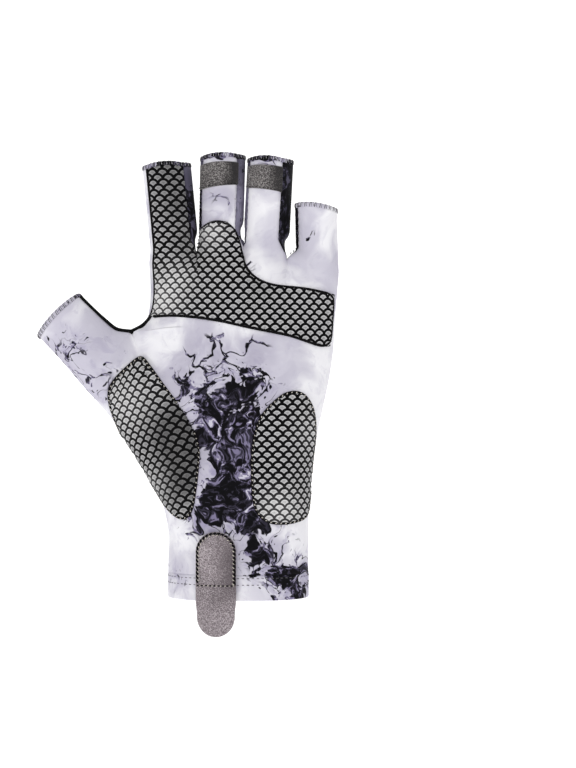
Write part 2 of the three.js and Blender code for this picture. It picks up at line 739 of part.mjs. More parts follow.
function solidOf(geometry) {
  const bare = geometry.clone();
  for (const name of Object.keys(bare.attributes)) if (name !== 'position') bare.deleteAttribute(name);
  const merged = mergeVertices(bare);
  return new wasm.Manifold(new wasm.Mesh({
    numProp: 3,
    vertProperties: merged.attributes.position.array,
    triVerts: new Uint32Array(merged.index.array),
  }));
}

function geometryFrom(solid) {
  const mesh = solid.getMesh();
  const geometry = new THREE.BufferGeometry();
  geometry.setAttribute('position', new THREE.BufferAttribute(Float32Array.from(mesh.vertProperties), 3));
  geometry.setIndex(new THREE.BufferAttribute(mesh.triVerts, 1));
  geometry.computeVertexNormals();
  return geometry;
}

// A patch of a given thickness that lies on the palm within an outline drawn from the front.
function palmPatch(outline, thickness) {
  const sheet = solidOf(clothSheet('palm_panel', trimGap + thickness, trimGap));
  const depth = 4 * palmDepth;
  const prism = new THREE.ExtrudeGeometry(new THREE.Shape(outline), { depth, bevelEnabled: false });
  prism.rotateX(Math.PI / 2).translate(0, depth / 2, 0);
  return geometryFrom(sheet.intersect(solidOf(prism)));
}

function gripOutline(shares, divisions) {
  const points = shares.map(([across, up]) => new THREE.Vector2(across * palmWidth, up * palmLength));
  return divisions ? new THREE.SplineCurve([...points, points[0]]).getPoints(divisions).slice(0, -1) : points;
}

// A band across a finger, below its opening.
function bandOutline(strip) {
  const { left, right } = seamPlaces(strip, 1);
  const top = bandDrop;
  const bottom = bandDrop + bandHeight;
  const margin = fingerDepth / 8;
  return [
    new THREE.Vector2(left.x - margin, left.z - top),
    new THREE.Vector2(left.x - margin, left.z - bottom),
    new THREE.Vector2(right.x + margin, right.z - bottom),
    new THREE.Vector2(right.x + margin, right.z - top),
  ];
}

// The pull tab: a strip with round ends that follows the cuff's palm side and hangs past its edge.
function pullTab() {
  const middle = -0.148 * wristWidth;
  const half = tabWidth / 2;
  const top = tabLength - tabOverhang;
  const rows = 12;
  const columns = 6;
  const positions = [];
  const endInset = 0.02;
  for (let r = 0; r <= rows; r += 1) {
    const turn = Math.PI * (endInset + (1 - 2 * endInset) * (r / rows));
    const down = (tabLength / 2) * (1 - Math.cos(turn));
    const fromEnd = Math.min(down, tabLength - down, half);
    const wide = Math.sqrt(half * half - (half - fromEnd) ** 2);
    for (let c = 0; c <= columns; c += 1) {
      const x = middle + wide * (-1 + (2 * c) / columns);
      const z = top - down;
      const back = -cuffDepth(x, z) - trimGap;
      positions.push(new THREE.Vector3(x, back - tabThickness, z), new THREE.Vector3(x, back, z));
    }
  }
  const at = (r, c) => 2 * (r * (columns + 1) + c);
  const triangles = [];
  const border = [];
  for (let r = 0; r < rows; r += 1) {
    for (let c = 0; c < columns; c += 1) {
      const [a, b, d, e] = [at(r, c), at(r + 1, c), at(r + 1, c + 1), at(r, c + 1)];
      triangles.push([a, b, d], [a, d, e], [a + 1, d + 1, b + 1], [a + 1, e + 1, d + 1]);
    }
    border.push([at(r, 0), at(r + 1, 0)], [at(r + 1, columns), at(r, columns)]);
  }
  for (let c = 0; c < columns; c += 1) border.push([at(0, c + 1), at(0, c)], [at(rows, c), at(rows, c + 1)]);
  for (const [a, b] of border) triangles.push([a, a + 1, b + 1], [a, b + 1, b]);
  return geometryOf(positions, triangles);
}

// Depth of the cuff's palm side at X and Z. Below the cuff's edge it carries straight on.
function cuffDepth(x, z) {
  let low = 0;
  let high = 1;
  while (high - low > 0.001) {
    const middle = (low + high) / 2;
    if (lowerRow(middle).lines[3].z < z) low = middle;
    else high = middle;
  }
  return handDepth(lowerRow(low), clamp01(x / wristWidth + 0.5), true);
}

// The piping that fills the palm seam from the index opening round the crotch to the thumb opening.
function piping() {
  const run = pipedSeam.slice(1, -1).map((id) => skin.points[id]);
  const path = new THREE.CatmullRomCurve3(run, false, 'centripetal');
  const radius = pipingDiameter / 2;
  const section = new THREE.Shape(Array.from({ length: PIPING_SIDES }, (_, i) => {
    const turn = (2 * Math.PI * i) / PIPING_SIDES;
    return new THREE.Vector2(radius * Math.cos(turn), radius * Math.sin(turn));
  }));
  return new THREE.ExtrudeGeometry(section, { steps: PIPING_STEPS, extrudePath: path });
}

const glove = new THREE.Group();

function add(name, geometry, colour, roughness) {
  const material = new THREE.MeshStandardMaterial({ color: colour, roughness, metalness: 0 });
  const mesh = new THREE.Mesh(geometry, material);
  mesh.name = name;
  glove.add(mesh);
}

add('palm_panel', clothSheet('palm_panel', 0, -fabricWall), fabricColour, 0.75);
add('back_panel', clothSheet('back_panel', 0, -fabricWall), fabricColour, 0.75);
add('wrist_hem', clothSheet('wrist_hem', 0, -hemWall), fabricColour, 0.75);
add('index_side_strip', clothSheet('index_side_strip', 0, -fabricWall), fabricColour, 0.75);
add('thumb_gusset', clothSheet('thumb_gusset', 0, -fabricWall), suedeColour, 0.9);
for (let strip = INDEX; strip < LITTLE; strip += 1) {
  const name = `${fingers[strip].name}_${fingers[strip + 1].name}_fourchette`;
  add(name, clothSheet(name, 0, -fabricWall), sidePanelColour, 0.75);
}
for (let strip = THUMB; strip <= LITTLE; strip += 1) {
  const name = openingName(strip);
  add(name, clothSheet(name, bindingProud, bindingProud - bindingWall), suedeColour, 0.9);
}
add('crotch_piping', piping(), blackColour, 0.6);
add('palm_grip', palmPatch(gripOutline(palmGripOutline, 0), gripThickness), gripColour, 0.5);
add('thumb_grip', palmPatch(gripOutline(thumbGripOutline, 28), gripThickness), gripColour, 0.5);
add('heel_grip', palmPatch(gripOutline(heelGripOutline, 26), gripThickness), gripColour, 0.5);
add('middle_pull_band', palmPatch(bandOutline(2), bandThickness), suedeColour, 0.9);
add('ring_pull_band', palmPatch(bandOutline(3), bandThickness), suedeColour, 0.9);
add('pull_tab', pullTab(), suedeColour, 0.9);

export default glove;
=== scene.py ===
"""A left-hand fishing glove in printed stretch cloth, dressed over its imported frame.

Sizes are in millimetres, as a glove maker gives them, and a mesh gets metres. The palm faces -Y,
X runs from the thumb to the little finger and Z from the cuff to the fingertips. The glove's skin
is worked out from a few hand sizes and tables of shares, and every piece is cut from that skin.
"""

import logging
import math
from dataclasses import dataclass, field
from enum import Enum, IntEnum
from functools import cached_property

import bmesh
import bpy
import numpy as np
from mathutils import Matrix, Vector


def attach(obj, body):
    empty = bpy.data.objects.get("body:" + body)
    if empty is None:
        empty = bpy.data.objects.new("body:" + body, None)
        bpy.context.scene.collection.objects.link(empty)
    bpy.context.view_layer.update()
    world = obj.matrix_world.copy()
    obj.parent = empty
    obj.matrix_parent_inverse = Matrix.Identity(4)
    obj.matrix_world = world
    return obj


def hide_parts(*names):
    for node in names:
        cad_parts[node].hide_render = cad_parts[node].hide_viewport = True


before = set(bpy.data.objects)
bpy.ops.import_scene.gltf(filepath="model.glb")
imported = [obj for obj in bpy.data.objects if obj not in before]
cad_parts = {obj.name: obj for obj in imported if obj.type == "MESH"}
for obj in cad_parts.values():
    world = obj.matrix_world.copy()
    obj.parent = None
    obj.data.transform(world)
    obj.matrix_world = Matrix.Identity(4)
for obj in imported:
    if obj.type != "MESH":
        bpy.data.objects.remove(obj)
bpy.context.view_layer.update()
LOG = logging.getLogger("fishing_glove")
METRES = 0.001
WELD = 0.002
Array = np.ndarray
Colour = tuple[int, int, int]
Material = bpy.types.Material
Socket = bpy.types.NodeSocket


class Side(Enum):
    """The two faces of the hand."""

    PALM = "palm"
    BACK = "back"


class Strip(IntEnum):
    """Strips of the skin from the thumb to the little finger, each one finger wide."""

    THUMB = 0
    INDEX = 1
    MIDDLE = 2
    RING = 3
    LITTLE = 4


@dataclass(frozen=True)
class Finger:
    """One finger. Width and reach are in millimetres, the rest are shares of its width."""

    name: str
    width: float
    reach: float
    root: float
    stand: float
    lean: float
    slope: float
    left_seam: float
    right_seam: float


FINGERS: dict[int, Finger] = {
    Strip.INDEX: Finger("index", 22.8, 35.5, 0.893, 0.0, -0.17, 0.05, 0.105, 0.15),
    Strip.MIDDLE: Finger("middle", 21.2, 39.6, 1.045, 0.0, 0.06, 0.03, 0.03, 0.15),
    Strip.RING: Finger("ring", 21.6, 38.2, 0.958, 0.0, 0.105, -0.03, 0.03, 0.22),
    Strip.LITTLE: Finger("little", 20.2, 16.0, 1.21, 0.094, -0.025, -0.13, 0.03, 0.0),
}


def smooth(t: Array) -> Array:
    """Eases a share from 0 to 1 with level ends: 3t^2 - 2t^3, clipped to 0 and 1."""
    t = np.clip(t, 0.0, 1.0)
    return t * t * (3 - 2 * t)


def lerp(a: Array, b: Array, t: Array) -> Array:
    """Goes from a to b in a straight line as t goes from 0 to 1."""
    return a + (b - a) * t


def run_lengths(points: Array) -> Array:
    """Length along each line of points, from 0. A line's points lie along the last axis but one."""
    steps = np.linalg.norm(np.diff(points, axis=-2), axis=-1)
    return np.concatenate([0 * steps[..., :1], np.cumsum(steps, axis=-1)], axis=-1)


def catmull(before: Array, start: Array, end: Array, after: Array, t: Array) -> Array:
    """Catmull-Rom curve between start and end, whose slopes are half the neighbours' span.

    Args:
        before, start, end, after: Four neighbouring points or values.
        t: Shares of the way from start to end.

    Returns:
        The curve's values at t.
    """
    slope_in = (end - before) / 2
    slope_out = (after - start) / 2
    a = 2 * start - 2 * end + slope_in + slope_out
    b = 3 * end - 3 * start - 2 * slope_in - slope_out
    return ((a * t + b) * t + slope_in) * t + start


def along(rows: Array, s: Array) -> Array:
    """Reads a table between its first row, at share 0, and its last, at share 1.

    Args:
        rows: The table, one row per station and one column per line.
        s: Shares at which it is read.

    Returns:
        One row of values per share, on Catmull-Rom curves through the stations.
    """
    last = len(rows) - 1
    place = np.clip(s, 0.0, 1.0) * last
    row = np.minimum(np.floor(place).astype(int), last - 1)
    near = [rows[np.clip(row + step, 0, last)] for step in (-1, 0, 1, 2)]
    t = (place - row).reshape((-1,) + (1,) * (rows.ndim - 1))
    return catmull(*near, t)


def to_segment(x: Array, z: Array, start: Array, end: Array) -> tuple[Array, Array]:
    """Distance from places to the nearest point between start and end, and that point's share.

    Args:
        x, z: The places.
        start, end: X and Z of both ends.

    Returns:
        Distances, and shares of the way from start to end.
    """
    run = end - start
    t = np.clip(((x - start[0]) * run[0] + (z - start[1]) * run[1]) / (run @ run), 0, 1)
    return np.hypot(x - start[0] - t * run[0], z - start[1] - t * run[1]), t


@dataclass(frozen=True)
class HandForm:
    """The glove's outer surface as functions of a share up the hand and a share across a strip."""

    wrist_width: float = 66.8
    palm_length: float = 166.4
    thenar_rise: float = 6.5
    heel_rise: float = 3.5
    finger_depth: float = 20.0
    finger_curl: float = 4.0
    thumb_width: float = 27.5
    thumb_depth: float = 25.0
    thumb_reach: float = 27.5
    thumb_height: float = 125.0
    thumb_forward: float = 17.0
    thumb_splay: float = math.radians(46)
    section_power: float = 2.3
    web_depth: float = 0.27
    rim_rise: float = 0.9
    crotch_rounding: float = 0.22
    web_sag: float = 0.7
    thumb_top_bulge: float = 0.4
    thumb_facing: float = -0.3
    hem_height: float = 12.0

    # Lines run up the hand between the strips: 0 at the thumb edge and 5 at the little edge.
    KNUCKLE_UP = np.array([0, 0.9435, 0.969, 1, 0.9615, 0.913])
    CROTCH_ACROSS = np.array([0, -0.5685, -0.177, 0.034, 0.251, 0.52])
    CROTCH_UP = np.array([0, 1, 1.016, 1.024, 1.008, 0.96])
    CUFF_ACROSS = np.array([-0.5, -0.28, -0.1, 0.08, 0.27, 0.5])
    PALM_LEFT = 0.4555

    # How far each line has gone from its place at the cuff to its place at the thumb's crotch.
    LOWER_ACROSS = np.array([
        [0, 0, 0, 0, 0, 0],
        [0, 0.01, 0.02, 0.02, 0.01, 0],
        [0, 0.03, 0.05, 0.05, 0.03, 0],
        [0.08, 0.14, 0.15, 0.15, 0.1, 0.02],
        [0.25, 0.29, 0.28, 0.28, 0.2, 0.07],
        [0.5, 0.5, 0.48, 0.48, 0.42, 0.4],
        [0.73, 0.7, 0.68, 0.68, 0.65, 0.68],
        [0.88, 0.87, 0.85, 0.85, 0.84, 0.88],
        [1, 1, 1, 1, 1, 1],
    ])
    LOWER_UP = np.array([
        [0, 0, 0, 0, 0, 0],
        [0.126, 0.096, 0.095, 0.094, 0.095, 0.1],
        [0.317, 0.24, 0.236, 0.234, 0.238, 0.25],
        [0.475, 0.36, 0.355, 0.352, 0.357, 0.38],
        [0.6, 0.48, 0.455, 0.453, 0.457, 0.49],
        [0.757, 0.65, 0.63, 0.625, 0.63, 0.65],
        [0.88, 0.8, 0.76, 0.75, 0.76, 0.78],
        [0.95, 0.915, 0.885, 0.88, 0.885, 0.9],
        [1, 1, 1, 1, 1, 1],
    ])
    # Columns: front and back depth in mm, then the shares of the thenar and heel pads.
    LOWER_DEPTHS = np.array([
        [21.0, 21.0, 0, 0],
        [20.79, 20.79, 0, 0],
        [20.37, 19.95, 0.1, 0.25],
        [20.14, 19.19, 0.5, 0.7],
        [19.95, 18.24, 0.85, 1],
        [19.38, 17.29, 1, 1],
        [18.43, 16.72, 0.85, 0.8],
        [17.29, 16.15, 0.6, 0.5],
        [16.34, 15.77, 0.35, 0.3],
    ])
    # Columns: blend of lines 0 and 1 into a finger's section, then their share of thumb_forward.
    LOWER_THUMB = np.array([
        [0, 0, 0, 0],
        [0, 0, 0, 0],
        [0, 0, 0, 0],
        [0, 0, 0.04, 0],
        [0, 0, 0.13, 0.04],
        [0.1, 0, 0.27, 0.12],
        [0.4, 0.12, 0.4, 0.22],
        [0.75, 0.5, 0.5, 0.31],
        [1, 1, 0.6, 0.4],
    ])
    # Columns: line 1 across and up, front and back depth, thenar, heel, both blends, forward.
    UPPER = np.array([
        [0, 0, 16.34, 15.77, 0.35, 0.3, 0, 0, 0.4],
        [0.566, 0.103, 15.77, 15.58, 0.2, 0.22, 0, 0.02, 0.3],
        [0.949, 0.281, 15.2, 15.39, 0.1, 0.15, 0.05, 0.1, 0.2],
        [1.07, 0.575, 14.25, 15.01, 0, 0.08, 0.4, 0.45, 0.08],
        [1, 1, 13.3, 14.44, 0, 0, 1, 1, 0],
    ])
    # Columns: top edge along and across, low edge along and across, front, back, both forwards.
    THUMB = np.array([
        [0, 0, -0.233, 1.265, 0.56, 0.52, 0.6, 0.4],
        [0.2, 0.135, 0.02, 1.238, 0.53, 0.5, 0.68, 0.56],
        [0.44, 0.157, 0.32, 1.205, 0.5, 0.48, 0.79, 0.73],
        [0.71, 0.16, 0.65, 1.176, 0.48, 0.465, 0.89, 0.87],
        [1, 0.152, 1, 1.149, 0.465, 0.455, 1, 1],
    ])
    CUFF_SHARE = np.array([0, 0.22, 0.4, 0.58, 0.77, 1])
    CROTCH_SHARE = np.array([0, 0.14, 0.37, 0.57, 0.76, 1])
    KNUCKLE_SHARE = np.array([0, 0.05, 0.27, 0.52, 0.75, 1])
    THENAR = (0.2, 0.16)
    HEEL = (0.82, 0.14)
    CROWN = {Side.PALM: (0.52, 0.465), Side.BACK: (0.54, 0.475)}
    THUMB_SEAM = {Side.PALM: 0.15, Side.BACK: 0.26}
    # Broad creases of the palm: from x, z to x, z as shares, half-width and depth in mm.
    CREASES = (
        (-0.37, 0.63, -0.185, 0.42, 5, 1.8),
        (-0.185, 0.42, -0.24, 0.22, 5, 1.5),
        (-0.56, 0.74, -0.43, 0.64, 4, 1.4),
        (-0.2, 0.86, 0.4, 0.8, 6, 0.9),
    )

    @property
    def palm_width(self) -> float:
        """Width across the finger roots."""
        return sum(finger.width * finger.root for finger in FINGERS.values())

    @property
    def hem_share(self) -> float:
        """The share up the lower hand at which the cuff's hem ends."""
        first_row = self.CROTCH_UP[3] * self.thumb_height * self.LOWER_UP[1, 3]
        return self.hem_height / first_row / (len(self.LOWER_UP) - 1)

    def knuckles(self) -> Array:
        """X and Z of each line at the finger roots."""
        steps = np.cumsum([0, 0] + [FINGERS[k].width * FINGERS[k].root for k in range(1, 5)])
        x = steps - self.palm_width * self.PALM_LEFT
        return np.stack([x, self.palm_length * self.KNUCKLE_UP], axis=1)

    def thumb_place(self, out: Array, over: Array) -> tuple[Array, Array]:
        """X and Z on the thumb, from shares of its reach and of its width.

        Args:
            out: Shares along the thumb.
            over: Shares across it.

        Returns:
            X and Z.
        """
        x_axis, z_axis = -math.sin(self.thumb_splay), math.cos(self.thumb_splay)
        out = out * self.thumb_reach
        over = over * self.thumb_width
        x = self.CROTCH_ACROSS[1] * self.palm_width + x_axis * out - z_axis * over
        return x, self.thumb_height + z_axis * out + x_axis * over

    def crotches(self) -> Array:
        """X and Z of each line at the row through the thumb's crotch."""
        places = np.stack([self.CROTCH_ACROSS * self.palm_width,
                           self.CROTCH_UP * self.thumb_height], axis=1)
        places[0] = self.thumb_place(self.THUMB[0, 2], self.THUMB[0, 3])
        return places

    def lower(self, s: Array) -> dict[str, Array]:
        """The six lines and the section's depths below the thumb's crotch, at shares s.

        Args:
            s: Shares from the cuff to the crotch.

        Returns:
            X, z, y, blend and share of each line, and the depths, in rows.
        """
        top = self.crotches()
        cuff = self.CUFF_ACROSS * self.wrist_width
        thumb = along(self.LOWER_THUMB, s)
        rest = np.zeros((len(s), 4))
        return self._row(
            x=lerp(cuff, top[:, 0], along(self.LOWER_ACROSS, s)),
            z=top[:, 1] * along(self.LOWER_UP, s),
            y=np.concatenate([-self.thumb_forward * thumb[:, 2:], rest], axis=1),
            blend=np.concatenate([thumb[:, :2], rest], axis=1),
            share=lerp(self.CUFF_SHARE, self.CROTCH_SHARE, s[:, None]),
            depths=along(self.LOWER_DEPTHS, s))

    def upper(self, s: Array) -> dict[str, Array]:
        """The same above the thumb's crotch, where line 0 has gone with the thumb.

        Args:
            s: Shares from the crotch to the finger roots.

        Returns:
            The same values as lower.
        """
        low, high = self.crotches(), self.knuckles()
        table = along(self.UPPER, s)
        x = lerp(low[:, 0], high[:, 0], s[:, None])
        z = lerp(low[:, 1], high[:, 1], s[:, None])
        x[:, 1] = lerp(low[1, 0], high[1, 0], table[:, 0])
        z[:, 1] = lerp(low[1, 1], high[1, 1], table[:, 1])
        y = np.zeros_like(x)
        y[:, 1] = -self.thumb_forward * table[:, 8]
        blend = np.repeat(table[:, 6:7], 6, axis=1)
        blend[:, 1] = 1
        blend[:, 5] = table[:, 7]
        share = lerp(self.CROTCH_SHARE, self.KNUCKLE_SHARE, s[:, None])
        return self._row(x=x, z=z, y=y, blend=blend, share=share, depths=table[:, 2:6])

    def _row(self, **parts: Array) -> dict[str, Array]:
        """Keeps the blends within 0 and 1."""
        parts["blend"] = np.clip(parts["blend"], 0, 1)
        return parts

    def hand_depth(self, depths: Array, share: Array, side: Side) -> Array:
        """Depth of the hand's section: a superellipse, with the two pads added on the palm.

        Args:
            depths: Rows of front and back depth and the pads' shares.
            share: Shares across the hand.
            side: Palm or back.

        Returns:
            A depth for each row and share.
        """
        round_share = np.clip(1 - np.abs(2 * share - 1) ** self.section_power, 0, 1)
        arch = round_share ** (1 / self.section_power)
        if side is Side.BACK:
            return depths[:, 1:2] * arch
        thenar = self.thenar_rise * depths[:, 2:3] * np.exp(-((share - self.THENAR[0]) / self.THENAR[1]) ** 2)
        heel = self.heel_rise * depths[:, 3:4] * np.exp(-((share - self.HEEL[0]) / self.HEEL[1]) ** 2)
        return arch * (depths[:, 0:1] + thenar + heel)

    def crease_depth(self, x: Array, z: Array) -> Array:
        """How far the creases press the palm in: a Gaussian of the distance to each segment.

        Args:
            x, z: Where the depth is wanted.

        Returns:
            Depths in millimetres.
        """
        total = np.zeros_like(x)
        size = np.array([self.palm_width, self.palm_length])
        for *ends, width, depth in self.CREASES:
            away, _ = to_segment(x, z, size * ends[:2], size * ends[2:])
            total += depth * np.exp(-(away / width) ** 2)
        return total

    def section(self, strip: int, s: Array, side: Side) -> tuple[Array, Array, Array]:
        """Depths of a finger's own section at its middle, left seam and right seam.

        Args:
            strip: The strip.
            s: Shares along the finger.
            side: Palm or back.

        Returns:
            The three depths.
        """
        if strip == Strip.THUMB:
            crown = self.thumb_depth * along(self.THUMB, s)[:, 4 if side is Side.PALM else 5]
            seam = np.full_like(crown, self.thumb_depth * self.THUMB_SEAM[side])
            return crown, np.zeros_like(crown), seam
        finger = FINGERS[strip]
        crown = self.finger_depth * lerp(*self.CROWN[side], s)
        opened = smooth(s / self.crotch_rounding)
        web = self.finger_depth * self.web_depth
        left = lerp(web, crown * math.sqrt(1 - (1 - 2 * finger.left_seam) ** 2), opened)
        right = lerp(web, crown * math.sqrt(1 - (1 - 2 * finger.right_seam) ** 2), opened)
        return crown, left, np.zeros_like(crown) if strip == Strip.LITTLE else right

    def hand_points(self, row: dict[str, Array], strip: int, t: Array, side: Side,
                    upper_share: Array | None = None) -> Array:
        """Points of one strip between the cuff and the finger roots.

        The lines are joined across by Catmull-Rom curves, which turn straight where a finger's
        own elliptic section takes over from the hand's superellipse.

        Args:
            row: What lower or upper gives, with n rows.
            strip: The strip.
            t: m shares across the strip.
            side: Palm or back.
            upper_share: The shares s of the upper rows, or None for lower rows.

        Returns:
            An array of n by m points.
        """
        upper = upper_share is not None

        def line(name: str, step: int) -> Array:
            """One line's values, carried straight on past the outermost lines."""
            values = row[name]
            first = 1 if upper else 0
            if strip + step < first:
                return 2 * values[:, strip:strip + 1] - values[:, strip + 1:strip + 2]
            if strip + step > 5:
                return 2 * values[:, strip + 1:strip + 2] - values[:, strip:strip + 1]
            return values[:, strip + step:strip + step + 1]

        blend = lerp(line("blend", 0), line("blend", 1), smooth(t))
        place = {}
        for name in ("x", "z"):
            near = [line(name, step) for step in (-1, 0, 1, 2)]
            place[name] = lerp(catmull(*near, t), lerp(near[1], near[2], t), blend)
        zero = np.zeros(1)
        crown, left, right = (value[0] for value in self.section(strip, zero, side))
        if strip == Strip.INDEX:
            from_thumb = self.section(Strip.THUMB, zero, side)[2][0]
            left = lerp(from_thumb, left, upper_share)[:, None] if upper else from_thumb
        own = section_depth(crown, left, right, t)
        share = lerp(line("share", 0), line("share", 1), t)
        full = lerp(self.hand_depth(row["depths"], share, side), own, blend)
        if side is Side.PALM:
            full = full * (1 - self.crease_depth(place["x"], place["z"]) / row["depths"][:, 0:1])
        middle = lerp(line("y", 0), line("y", 1), smooth(t))
        y = middle - full if side is Side.PALM else middle + full
        return np.stack([place["x"], y, place["z"]], axis=2)

    def axis(self, strip: int) -> Array:
        """The direction in which a finger's opening faces."""
        if strip == Strip.THUMB:
            way = np.array([-math.sin(self.thumb_splay), self.thumb_facing, math.cos(self.thumb_splay)])
        else:
            finger = FINGERS[strip]
            tilt = -2 * self.finger_curl * finger.reach / self.palm_length
            way = np.array([finger.lean * finger.width, tilt, finger.reach])
        return way / np.linalg.norm(way)

    def finger_points(self, strip: int, s: Array, t: Array, side: Side) -> Array:
        """Points of one finger or the thumb, from its root at s = 0 to its opening at s = 1.

        Across a finger the points lie on an ellipse cut off at its two seams, and towards the
        opening the middle rises along the finger by a parabola.

        Args:
            strip: The strip.
            s: n shares along the finger.
            t: m shares across it.
            side: Palm or back.

        Returns:
            An array of n by m points.
        """
        column = s[:, None]
        if strip == Strip.THUMB:
            table = along(self.THUMB, s)
            left_x, left_z = self.thumb_place(table[:, 2], table[:, 3])
            right_x, right_z = self.thumb_place(table[:, 0], table[:, 1])
            left_y, right_y = -self.thumb_forward * table[:, 6], -self.thumb_forward * table[:, 7]
        else:
            finger = FINGERS[strip]
            roots = self.knuckles()
            centre = (roots[strip, 0] + roots[strip + 1, 0]) / 2
            centre = centre + finger.width * (finger.stand + finger.lean * s)
            opened = smooth(s / self.crotch_rounding)
            half = finger.width / 2
            tip = self.palm_length + finger.reach
            left_x = lerp(roots[strip, 0], centre - half + finger.left_seam * finger.width, opened)
            right_x = lerp(roots[strip + 1, 0], centre + half - finger.right_seam * finger.width, opened)
            left_z = lerp(roots[strip, 1], tip - finger.slope * half, s)
            right_z = lerp(roots[strip + 1, 1], tip + finger.slope * half, s)
            left_y = right_y = -self.finger_curl * s * s
        crown, left, right = self.section(strip, s, side)
        depth = section_depth(crown[:, None], left[:, None], right[:, None], t)
        way = self.axis(strip)
        rise = self.rim_rise * column ** 4 * (1 - (2 * t - 1) ** 2)
        y = lerp(left_y[:, None], right_y[:, None], t)
        points = [lerp(left_x[:, None], right_x[:, None], t),
                  y - depth if side is Side.PALM else y + depth,
                  lerp(left_z[:, None], right_z[:, None], t)]
        return np.stack(points, axis=2) + rise[:, :, None] * way

    def cuff_depth(self, x: Array, z: Array) -> Array:
        """Depth of the cuff's palm side at x and z, and straight on below the cuff's edge.

        Args:
            x, z: Arrays of places.

        Returns:
            Depths in millimetres.
        """
        shares = np.linspace(0, 0.4, 60)
        rows = self.lower(shares)
        s = np.interp(z, rows["z"][:, 3], shares)
        depths = along(self.LOWER_DEPTHS, s.ravel())
        share = np.clip(x.ravel() / self.wrist_width + 0.5, 0, 1)[:, None]
        return self.hand_depth(depths, share, Side.PALM)[:, 0].reshape(x.shape)


def section_depth(crown: Array, left: Array, right: Array, t: Array) -> Array:
    """Depth at t across a finger: an ellipse of height crown, cut off where it is left or right deep."""
    place = lerp(-np.sqrt(1 - (left / crown) ** 2), np.sqrt(1 - (right / crown) ** 2), t)
    return crown * np.sqrt(np.clip(1 - place * place, 0, 1))


FORM = HandForm()


def grid_quads(rows: int, columns: int, wrap_rows: bool = False, wrap_columns: bool = False) -> Array:
    """Quads of a grid of points, counted row by row, closed round either way if asked.

    Args:
        rows, columns: The grid's size.
        wrap_rows, wrap_columns: Whether its last row or column joins its first.

    Returns:
        Four point numbers for each quad.
    """
    r = np.arange(rows if wrap_rows else rows - 1)[:, None]
    c = np.arange(columns if wrap_columns else columns - 1)[None, :]
    next_r, next_c = (r + 1) % rows, (c + 1) % columns
    corners = [r * columns + c, r * columns + next_c, next_r * columns + next_c, next_r * columns + c]
    return np.stack([corner + 0 * (r + c) for corner in corners], axis=-1).reshape(-1, 4)


def coinciding(points: Array) -> tuple[Array, Array]:
    """Sorts points into cells of size WELD: the first point of each cell, and each point's cell."""
    keys = np.round(points / WELD).astype(np.int64)
    _, first, cell = np.unique(keys, axis=0, return_index=True, return_inverse=True)
    return first, cell.reshape(-1)


def unit(vectors: Array) -> Array:
    """Vectors scaled to length 1."""
    return vectors / np.maximum(np.linalg.norm(vectors, axis=-1, keepdims=True), 1e-9)


@dataclass
class Sheet:
    """Points and quads of a surface, with named values at each point."""

    points: Array
    quads: Array
    values: dict[str, Array] = field(default_factory=dict)

    @classmethod
    def grid(cls, points: Array, wrap_rows: bool = False, wrap_columns: bool = False,
             **values: Array) -> "Sheet":
        """A sheet from a grid of points with n rows and m columns.

        Args:
            points: The grid.
            wrap_rows, wrap_columns: Whether its last row or column joins its first.
            values: Named values, one for all points or one for each.

        Returns:
            The sheet.
        """
        quads = grid_quads(points.shape[0], points.shape[1], wrap_rows, wrap_columns)
        flat = {name: np.broadcast_to(value, points.shape[:2]).ravel().astype(float)
                for name, value in values.items()}
        return cls(points.reshape(-1, 3), quads, flat)

    @classmethod
    def joined(cls, sheets: "list[Sheet]") -> "Sheet":
        """Several sheets as one, with the values that they all have."""
        starts = np.cumsum([0] + [len(sheet.points) for sheet in sheets[:-1]])
        names = set.intersection(*(set(sheet.values) for sheet in sheets))
        values = {name: np.concatenate([sheet.values[name] for sheet in sheets]) for name in names}
        return cls(np.concatenate([sheet.points for sheet in sheets]),
                   np.concatenate([sheet.quads + start for sheet, start in zip(sheets, starts)]), values)

    def welded(self) -> "Sheet":
        """The sheet with points that coincide made one, and quads that shrink to nothing dropped."""
        first, cell = coinciding(self.points)
        quads = cell[self.quads]
        whole = (quads[:, 0] != quads[:, 2]) & (quads[:, 1] != quads[:, 3])
        return Sheet(self.points[first], quads[whole], {k: v[first] for k, v in self.values.items()})

    def kept(self, mask: Array) -> "Sheet":
        """Only the quads that a mask picks, without the points that they leave unused.

        Args:
            mask: True for each quad that stays.

        Returns:
            The smaller sheet.
        """
        quads = self.quads[mask]
        used, back = np.unique(quads, return_inverse=True)
        return Sheet(self.points[used], back.reshape(quads.shape),
                     {k: v[used] for k, v in self.values.items()})

    def flipped(self) -> "Sheet":
        """The same sheet with its faces turned over."""
        return Sheet(self.points, self.quads[:, ::-1], self.values)

    def normals(self) -> Array:
        """Area-weighted unit normals at the points, from the cross product of each quad's diagonals."""
        a, b, c, d = (self.points[self.quads[:, k]] for k in range(4))
        face = np.cross(c - a, d - b)
        total = np.zeros_like(self.points)
        for k in range(4):
            np.add.at(total, self.quads[:, k], face)
        return unit(total)

    def pushed(self, height: Array) -> "Sheet":
        """Moves each point along its normal by a height in millimetres."""
        return Sheet(self.points + self.normals() * np.reshape(height, (-1, 1)), self.quads, self.values)

    def border(self) -> Array:
        """Indices of the points on the sheet's edge, where a side belongs to one quad only."""
        sides = np.concatenate([self.quads[:, [k, (k + 1) % 4]] for k in range(4)])
        sides = sides[sides[:, 0] != sides[:, 1]]
        ordered = np.sort(sides, axis=1)
        _, back, count = np.unique(ordered, axis=0, return_inverse=True, return_counts=True)
        return np.unique(sides[count[back.reshape(-1)] == 1])


